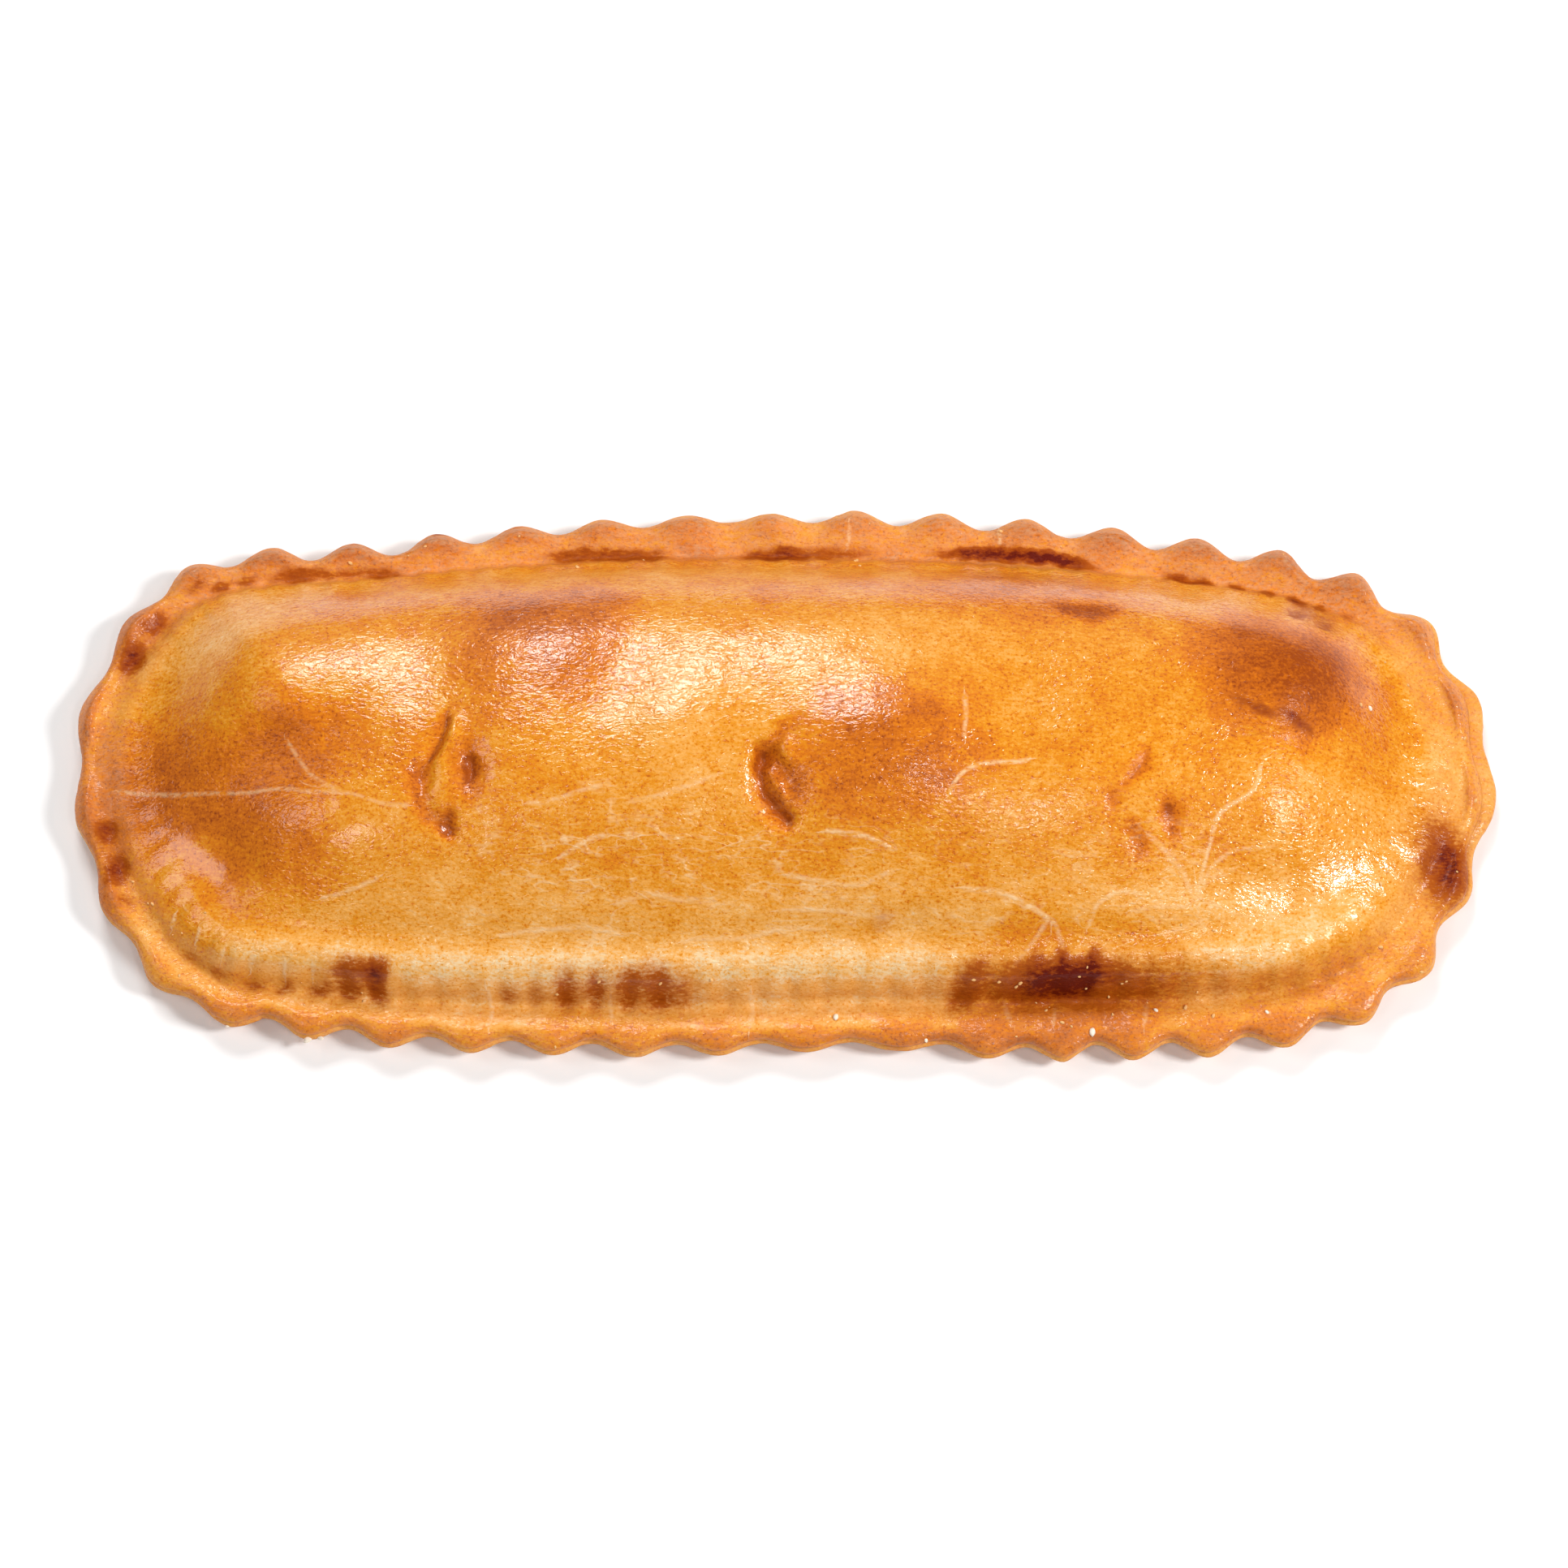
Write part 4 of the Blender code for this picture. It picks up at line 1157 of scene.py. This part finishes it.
def crack_lines(points):
    """The signed distance of each point to its nearest crack, and how strong that is."""
    nearest = np.full(len(points), CRACK_REACH * 2)
    signed = np.full(len(points), CRACK_REACH * 2)
    strength = np.zeros(len(points))
    for weight, *line in CRACKS:
        corners = np.array(line)
        fine = curve_through(corners, [CRACK_STEPS] * (len(corners) - 1))
        for start, end in zip(fine[:-1], fine[1:]):
            way = end - start
            reach = np.linalg.norm(way)
            way = way / reach
            away = points - start
            along = np.clip(away @ way, 0.0, reach)
            gap = away - along[:, None] * way
            distance = np.linalg.norm(gap, axis=1)
            closer = distance < nearest
            side = np.sign(gap[:, 0] * way[1] - gap[:, 1] * way[0])
            nearest[closer] = distance[closer]
            signed[closer] = (distance * np.where(side == 0, 1, side))[closer]
            strength[closer] = weight
    return signed, strength * (1 - smooth(nearest, CRACK_REACH * CRACK_FULL, CRACK_REACH))


def paint_crust(mesh):
    """Stores on the points how well baked the crust is, with painted light and shade mixed in, and how
    burnt, cracked, dry and washed it is.
    """
    points = points_of(mesh)
    above = points[:, 2] > RIM_LIFT + SHEET
    warp = wander(points, WARP_SIZE, (2, 5))
    warped = points[:, :2] + WARP_REACH * warp
    tooth = stored(mesh, "tooth")
    # The tone and the patches hold painted light and shade besides the baking: paler on the shaded
    # front, darker on the rear rim.
    bake = stored(mesh, "tone") + patches(warped, TOAST_AND_LIGHT) * above
    ragged = wander(points, RAGGED_SIZE, (17, 19))
    near = points[:, :2] + BURN_WARP_REACH * warp + RAGGED_REACH * ragged
    burn = patches(near, BURNS)
    for *row, keeping in TOOTH_BURNS:
        burn += patches(near, [row]) * (1 - keeping + keeping * tooth)
    brown = gouges(points)[1]
    bake += brown * above
    burn += np.clip(brown - VENT_BURNT, 0.0, 1.0) * VENT_BURN
    signed, cover = crack_lines(points[:, :2] + CRACK_WANDER * warp)
    store(mesh, "bake", bake)
    store(mesh, "burn", burn * above)
    dull = np.clip(DULL_BROWN * brown + DULL_BURN * burn, 0.0, DULLEST)
    dull = np.maximum(dull, np.clip(patches(warped, THIN_WASH), 0.0, THINNEST))
    store(mesh, "above", above)
    # Where no wash lies, the colour takes on flour and a painted sheen.
    store(mesh, "dry", 1 - stored(mesh, "wash"))
    store(mesh, "wash", stored(mesh, "wash") * (1 - dull * above))
    store(mesh, "crack", signed)
    store(mesh, "crack_cover", cover * above)
    store(mesh, "crazing", patches(warped, CRAZING) * above)
    store(mesh, "ruffle", 1 - np.clip(patches(warped, SMOOTH_WASH), 0.0, 1.0))


# --- The materials ---------------------------------------------------------------------


def per_metre(millimetres):
    """The scale of a texture whose pattern has this size."""
    return 1 / (millimetres * MM)


def new_material(name):
    """A material with an empty tree."""
    material = bpy.data.materials.new(name)
    material.use_nodes = True
    material.node_tree.nodes.clear()
    return material


def egg_washed_shortcrust(colours):
    """Shortcrust brushed with egg and baked: a golden ground that browns on the lumps
    and burns in the crimp, with fine dark bran, pale stretch cracks, and a thin wrinkled
    glaze that breaks up the highlights."""
    material = new_material("egg_washed_shortcrust")
    tree = material.node_tree
    place = add_node(tree, "ShaderNodeTexCoord")["Object"]
    read = {}
    for name in ("bake", "burn", "crack", "crack_cover", "crazing", "dry", "wash", "ruffle"):
        read[name] = add_node(tree, "ShaderNodeAttribute", attribute_name=name)["Fac"]
    along = add_node(tree, MAPPING, {"Vector": place, "Scale": (1.0, 2.2, 1.6)})[0]
    # Mottling: broad clouds, blotches, the bran of the flour and the finest flecks, each
    # with its size in millimetres, detail and roughness. The flecks are drawn coarser
    # than the dust of real bran, which wouldn't show.
    noises = {}
    for name, vector, size, detail, roughness in (
        ("cloud", place, 12.0, 2.0, 0.5),
        ("blotch", place, 3.4, 5.0, 0.62),
        ("bran", along, 0.95, 3.0, 0.6),
        ("fleck", place, 0.4, 2.0, 0.7),
    ):
        noises[name] = add_node(
            tree,
            NOISE,
            {"Vector": vector, "Scale": per_metre(size), "Detail": detail, "Roughness": roughness},
        )["Fac"]
    # Each shifts the tone by up to half its weight either way.
    tone = read["bake"]
    for name, weight in (("cloud", 0.24), ("blotch", 0.5), ("bran", 0.5), ("fleck", 0.5)):
        middle = add_node(tree, MATH, {0: tone, 1: weight / 2}, operation="SUBTRACT")
        tone = add_node(
            tree, MATH, {0: noises[name], 1: weight, 2: middle[0]}, operation="MULTIPLY_ADD"
        )[0]
    # Dark specks where the finest noise peaks.
    specks = add_node(
        tree, MAP_RANGE, {"Value": noises["fleck"], "From Min": 0.58, "From Max": 0.7, "To Max": 0.2}
    )
    tone = add_node(tree, MATH, {0: tone, 1: specks[0]}, operation="ADD")[0]
    baked = colour_steps(
        tree,
        tone,
        (
            (0.0, colours.dough),
            (0.22, colours.straw),
            (0.45, colours.gold),
            (0.6, colours.amber),
            (0.78, colours.chestnut),
            (1.0, colours.brown),
        ),
    )
    # Cracks: a pale line along the stored distance, broken up by the bran.
    off = add_node(tree, MATH, {0: read["crack"]}, operation="ABSOLUTE")
    line = add_node(
        tree,
        MAP_RANGE,
        {"Value": off[0], "From Min": 0.03, "From Max": 0.5, "To Min": 0.95, "To Max": 0.0},
        interpolation_type="SMOOTHSTEP",
    )
    line = add_node(tree, MATH, {0: line[0], 1: read["crack_cover"]}, operation="MULTIPLY")
    broken = add_node(tree, MAP_RANGE, {"Value": noises["bran"], "From Min": 0.34, "From Max": 0.58})
    pale = add_node(tree, MATH, {0: line[0], 1: broken[0]}, operation="MULTIPLY")[0]
    # Crazing: two nets of thin wandering lines, drawn out along the pie, with the size of
    # their loops in millimetres.
    drawn_out = add_node(tree, MAPPING, {"Vector": place, "Scale": (0.55, 1.3, 0.8)})[0]
    for size, thickness, strength in ((5.5, 0.022, 0.6), (2.6, 0.03, 0.4)):
        net = add_node(
            tree,
            NOISE,
            {"Vector": drawn_out, "Scale": per_metre(size), "Detail": 3.0, "Roughness": 0.5},
        )["Fac"]
        middle = add_node(tree, MATH, {0: net, 1: 0.5}, operation="SUBTRACT")
        away = add_node(tree, MATH, {0: middle[0]}, operation="ABSOLUTE")
        thread = add_node(
            tree,
            MAP_RANGE,
            {"Value": away[0], "From Max": thickness, "To Min": strength, "To Max": 0.0},
            interpolation_type="SMOOTHSTEP",
        )
        patchy = add_node(
            tree, MAP_RANGE, {"Value": noises["blotch"], "From Min": 0.62, "From Max": 0.42}
        )
        thread = add_node(tree, MATH, {0: thread[0], 1: patchy[0]}, operation="MULTIPLY")
        pale = add_node(
            tree, MATH, {0: thread[0], 1: read["crazing"], 2: pale}, operation="MULTIPLY_ADD"
        )[0]
    cracked = add_node(tree, MIX, {"Factor": pale, "A": baked, "B": colours.crack}, data_type="RGBA")
    # Where no wash lies, the crust is paled with flour and with a painted sheen, patchy with the bran.
    dry = add_node(tree, MAP_RANGE, {"Value": read["dry"], "From Min": 0.35, "To Max": 0.5})
    patchy_sheen = add_node(tree, MAP_RANGE, {"Value": noises["bran"], "From Min": 0.28, "From Max": 0.72})
    dry = add_node(tree, MATH, {0: dry[0], 1: patchy_sheen[0]}, operation="MULTIPLY")
    cracked = add_node(
        tree, MIX, {"Factor": dry[0], "A": cracked["Result"], "B": colours.dusty}, data_type="RGBA"
    )
    # Burns: brown round the border, then red brown, then nearly black. The mottling,
    # which adds up to 1 on average, makes them patchy.
    share = 0.0
    for name, weight in (("blotch", 1.2), ("bran", 2.0), ("fleck", 0.6)):
        share = add_node(
            tree, MATH, {0: noises[name], 1: weight, 2: share}, operation="MULTIPLY_ADD"
        )[0]
    share = add_node(tree, MATH, {0: share, 1: -0.9}, operation="ADD")
    burn = add_node(tree, MATH, {0: read["burn"], 1: share[0]}, operation="MULTIPLY")
    dark = colour_steps(
        tree,
        burn[0],
        ((0.0, colours.chestnut), (0.35, colours.rust), (0.7, colours.scorch), (1.0, colours.char)),
    )
    cover = add_node(tree, MAP_RANGE, {"Value": burn[0], "From Min": 0.0, "From Max": 0.3})
    colour = add_node(
        tree, MIX, {"Factor": cover[0], "A": cracked["Result"], "B": dark}, data_type="RGBA"
    )
    # The glaze dries in short wrinkles, finer ones between them, over the bran. The
    # widths and heights are in millimetres.
    height = 0.0
    for turn, size, distortion, millimetres in ((25.0, 1.15, 1.2, 0.11), (-35.0, 0.6, 0.5, 0.012)):
        ripple_place = add_node(
            tree,
            MAPPING,
            {"Vector": place, "Rotation": (0.0, 0.0, math.radians(turn)), "Scale": (1.0, 1.9, 1.4)},
        )
        ripple = add_node(
            tree,
            NOISE,
            {
                "Vector": ripple_place[0],
                "Scale": per_metre(size),
                "Detail": 1.5,
                "Roughness": 0.5,
                "Distortion": distortion,
            },
        )["Fac"]
        ripples = add_node(tree, MATH, {0: ripple, 1: read["ruffle"]}, operation="MULTIPLY")
        height = add_node(
            tree, MATH, {0: ripples[0], 1: millimetres, 2: height}, operation="MULTIPLY_ADD"
        )[0]
    for socket, millimetres in ((noises["fleck"], 0.012), (pale, 0.03)):
        height = add_node(
            tree, MATH, {0: socket, 1: millimetres, 2: height}, operation="MULTIPLY_ADD"
        )[0]
    bump = add_node(tree, "ShaderNodeBump", {"Height": height, "Distance": MM, "Strength": 1.0})
    rough = add_node(
        tree,
        MAP_RANGE,
        {"Value": noises["blotch"], "From Min": 0.3, "From Max": 0.7, "To Min": 0.38, "To Max": 0.52},
    )
    shader = add_node(
        tree,
        PRINCIPLED,
        {
            "Base Color": colour["Result"],
            "Roughness": rough[0],
            "Normal": bump[0],
            "Coat Weight": read["wash"],
            "Coat Roughness": 0.12,
            "Coat Normal": bump[0],
            "Specular IOR Level": 0.1,
        },
    )
    add_node(tree, SURFACE_OUTPUT, {"Surface": shader[0]})
    return material


def colour_steps(tree, value, stops):
    """A colour that runs through these stops as the value grows."""
    node = tree.nodes.new("ShaderNodeValToRGB")
    tree.links.new(value, node.inputs["Fac"])
    ramp = node.color_ramp
    for place, colour in stops[1:-1]:
        ramp.elements.new(place)
    for element, (place, colour) in zip(ramp.elements, stops):
        element.position = place
        element.color = colour
    return node.outputs["Color"]


def dry_flour(name, colour, roughness):
    """Loose flour or crumb: a dull, slightly uneven pale powder that never glints."""
    material = new_material(name)
    tree = material.node_tree
    place = add_node(tree, "ShaderNodeTexCoord")["Object"]
    powder = add_node(tree, NOISE, {"Vector": place, "Scale": per_metre(0.4), "Detail": 2.0})
    shade = add_node(
        tree,
        MAP_RANGE,
        {"Value": powder["Fac"], "From Min": 0.3, "From Max": 0.7, "To Min": 0.85, "To Max": 1.05},
    )
    tinted = add_node(tree, VECTOR_MATH, {0: colour[:3], "Scale": shade[0]}, operation="SCALE")
    shader = add_node(
        tree, PRINCIPLED, {"Base Color": tinted[0], "Roughness": roughness, "Specular IOR Level": 0.3}
    )
    add_node(tree, SURFACE_OUTPUT, {"Surface": shader[0]})
    return material


# --- Operators -------------------------------------------------------------------------


class EMPANADA_OT_crust(bpy.types.Operator):
    """Builds the baked crust and shows it for the solid."""

    bl_idname = "empanada.crust"
    bl_label = "Bake the crust"

    def execute(self, context):
        shape = context.scene.empanada_shape
        values = {socket_title(name): getattr(shape, name) for name in CrustShape.__annotations__}
        values["Material"] = egg_washed_shortcrust(context.scene.empanada_colours)
        mesh = run_tree("plain_crust", plain_crust(), relief_tree(), values)
        points = fit_inside(press_lid(mesh))
        mesh.vertices.foreach_set("co", (points * MM).astype(np.float32).ravel())
        mesh.update()
        paint_crust(mesh)
        for name in ("inset", "reach", "tooth_in", "tooth_down", "swell", "out", "tone"):
            mesh.attributes.remove(mesh.attributes[name])
        crust = add_piece("crust", mesh)
        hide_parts("pastry")
        return {"FINISHED"}


class EMPANADA_OT_dust(bpy.types.Operator):
    """Strews crumbs and flour on the crust."""

    bl_idname = "empanada.dust"
    bl_label = "Strew crumbs and flour"

    def execute(self, context):
        dust = context.scene.empanada_dust
        crust = bpy.data.objects["crust"].data
        points = points_of(crust)
        on_top = (points[:, 2] > RIM_TOP - DUST_DROP) & (stored(crust, "above") > 0.5)
        values = {
            "Density": dust.density,
            "Grain Size": dust.crumb_size,
            "Sink": dust.sink,
            "Seed": dust.seed,
            "Material": dry_flour("crumbs_of_crust", dust.crumb, roughness=0.7),
        }
        ground = crust.copy()
        store(ground, "dust", np.clip(patches(points, DUSTED), 0.0, 1.0) * on_top)
        mesh = run_tree("strewn_crumbs", ground, grains_tree("crumbs", True), values)
        crumbs = add_piece("crumbs", mesh)
        table = np.array(SPECKS)
        nearest = [
            np.argmin(((points[:, :2] - row[:2]) ** 2).sum(1) - UPPER_FIRST * points[:, 2])
            for row in table
        ]
        specks = bpy.data.meshes.new("speck_places")
        specks.from_pydata(points[nearest] * MM, [], [])
        store(specks, "dust", table[:, 2])
        values["Grain Size"] = MM
        values["Material"] = dry_flour("dry_flour", dust.flour, roughness=0.9)
        mesh = run_tree("strewn_flour", specks, grains_tree("flour", False), values)
        flour = add_piece("flour", mesh)
        return {"FINISHED"}


class EMPANADA_OT_stage(bpy.types.Operator):
    """Makes the floor, the lights and the camera."""

    bl_idname = "empanada.stage"
    bl_label = "Set the stage"

    def execute(self, context):
        settings = context.scene.empanada_stage
        add_floor(settings.floor)
        add_lights(settings)
        add_camera(settings)
        context.scene.view_settings.view_transform = "Standard"
        return {"FINISHED"}


FLOOR_SIZE = 6.0  # metres
FLOOR_GAP = 0.0001  # the floor lies this far under the pie
AIM = (-0.18, -2.31, 8.08)  # the point the camera looks at, in millimetres
LENS = 100.0  # millimetres
SENSOR = 36.0
# Each light's name, the direction it comes from, its distance, width and height in
# metres, and which of the settings is its power.
LIGHTS = (
    ("rear_softbox", (-0.16, 0.63, 0.76), 0.9, 0.3, 0.22, "key_power"),
    ("right_softbox", (0.7, -0.1, 0.7), 0.9, 0.17, 0.17, "right_power"),
    ("left_softbox", (-0.71, 0.06, 0.7), 0.9, 0.3, 0.3, "left_power"),
    ("left_card", (-0.42, -0.38, 0.82), 0.9, 0.14, 0.2, "card_power"),
    ("front_card", (0.25, -0.33, 0.91), 0.9, 0.1, 0.1, "spark_power"),
    ("backdrop", (0.0, 0.85, 0.5), 1.2, 1.8, 0.8, "backdrop_power"),
    ("front_fill", (0.0, -0.72, 0.7), 1.6, 2.2, 1.4, "fill_power"),
)
# The broad fill gives light, but the glaze doesn't mirror it.
NOT_REFLECTED = ("front_fill",)


def add_floor(colour):
    """A plain white floor, so matt that it shows only the pie's soft shadow."""
    half = FLOOR_SIZE / 2
    corners = [(-half, -half), (half, -half), (half, half), (-half, half)]
    mesh = bpy.data.meshes.new("floor")
    mesh.from_pydata([(x, y, -FLOOR_GAP) for x, y in corners], [], [(0, 1, 2, 3)])
    material = new_material("matt_white_board")
    tree = material.node_tree
    shader = add_node(
        tree, PRINCIPLED, {"Base Color": tuple(colour), "Roughness": 0.9, "Specular IOR Level": 0.1}
    )
    add_node(tree, SURFACE_OUTPUT, {"Surface": shader[0]})
    mesh.materials.append(material)
    floor = bpy.data.objects.new("floor", mesh)
    bpy.context.scene.collection.objects.link(floor)


def add_lights(settings):
    """Softboxes and small cards, a white wall behind, a broad fill and a pale surround."""
    aim = Vector(AIM) * MM
    for name, direction, distance, width, height, power in LIGHTS:
        light = bpy.data.lights.new(name, "AREA")
        light.shape = "RECTANGLE"
        light.size = width
        light.size_y = height
        light.energy = getattr(settings, power)
        lamp = bpy.data.objects.new(name, light)
        towards = Vector(direction).normalized()
        lamp.location = aim + towards * distance
        lamp.rotation_euler = towards.to_track_quat("Z", "Y").to_euler()
        lamp.visible_glossy = name not in NOT_REFLECTED
        bpy.context.scene.collection.objects.link(lamp)
    world = bpy.data.worlds.new("pale_studio")
    world.use_nodes = True
    background = world.node_tree.nodes["Background"]
    background.inputs["Color"].default_value = (1.0, 1.0, 1.0, 1.0)
    background.inputs["Strength"].default_value = settings.surround
    bpy.context.scene.world = world


def add_camera(settings):
    """The camera at the photograph's viewing angle."""
    camera = bpy.data.cameras.new("camera")
    camera.lens = LENS
    camera.sensor_width = SENSOR
    view = bpy.data.objects.new("camera", camera)
    back = Vector((0.0, -math.cos(settings.elevation), math.sin(settings.elevation)))
    view.location = Vector(AIM) * MM + back * settings.distance
    view.rotation_euler = back.to_track_quat("Z", "Y").to_euler()
    bpy.context.scene.collection.objects.link(view)
    bpy.context.scene.camera = view


class EMPANADA_PT_panel(bpy.types.Panel):
    """Lists the empanada's settings and buttons in the sidebar."""

    bl_idname = "EMPANADA_PT_panel"
    bl_label = "Empanada"
    bl_space_type = "VIEW_3D"
    bl_region_type = "UI"
    bl_category = "Empanada"

    def draw(self, context):
        scene = context.scene
        for settings, operator in (
            (scene.empanada_shape, EMPANADA_OT_crust),
            (scene.empanada_colours, None),
            (scene.empanada_dust, EMPANADA_OT_dust),
            (scene.empanada_stage, EMPANADA_OT_stage),
        ):
            box = self.layout.box()
            for name in settings.__annotations__:
                box.prop(settings, name)
            if operator:
                box.operator(operator.bl_idname)


CLASSES = (
    CrustShape,
    CrustColours,
    DustSizes,
    StageSettings,
    EMPANADA_OT_crust,
    EMPANADA_OT_dust,
    EMPANADA_OT_stage,
    EMPANADA_PT_panel,
)
GROUPS = {
    "empanada_shape": CrustShape,
    "empanada_colours": CrustColours,
    "empanada_dust": DustSizes,
    "empanada_stage": StageSettings,
}


def register():
    for item in CLASSES:
        bpy.utils.register_class(item)
    for name, group in GROUPS.items():
        setattr(bpy.types.Scene, name, PointerProperty(type=group))


def unregister():
    for name in GROUPS:
        delattr(bpy.types.Scene, name)
    for item in reversed(CLASSES):
        bpy.utils.unregister_class(item)


def main():
    register()
    bpy.ops.empanada.crust()
    bpy.ops.empanada.dust()
    bpy.ops.empanada.stage()


if __name__ == "__main__":
    main()
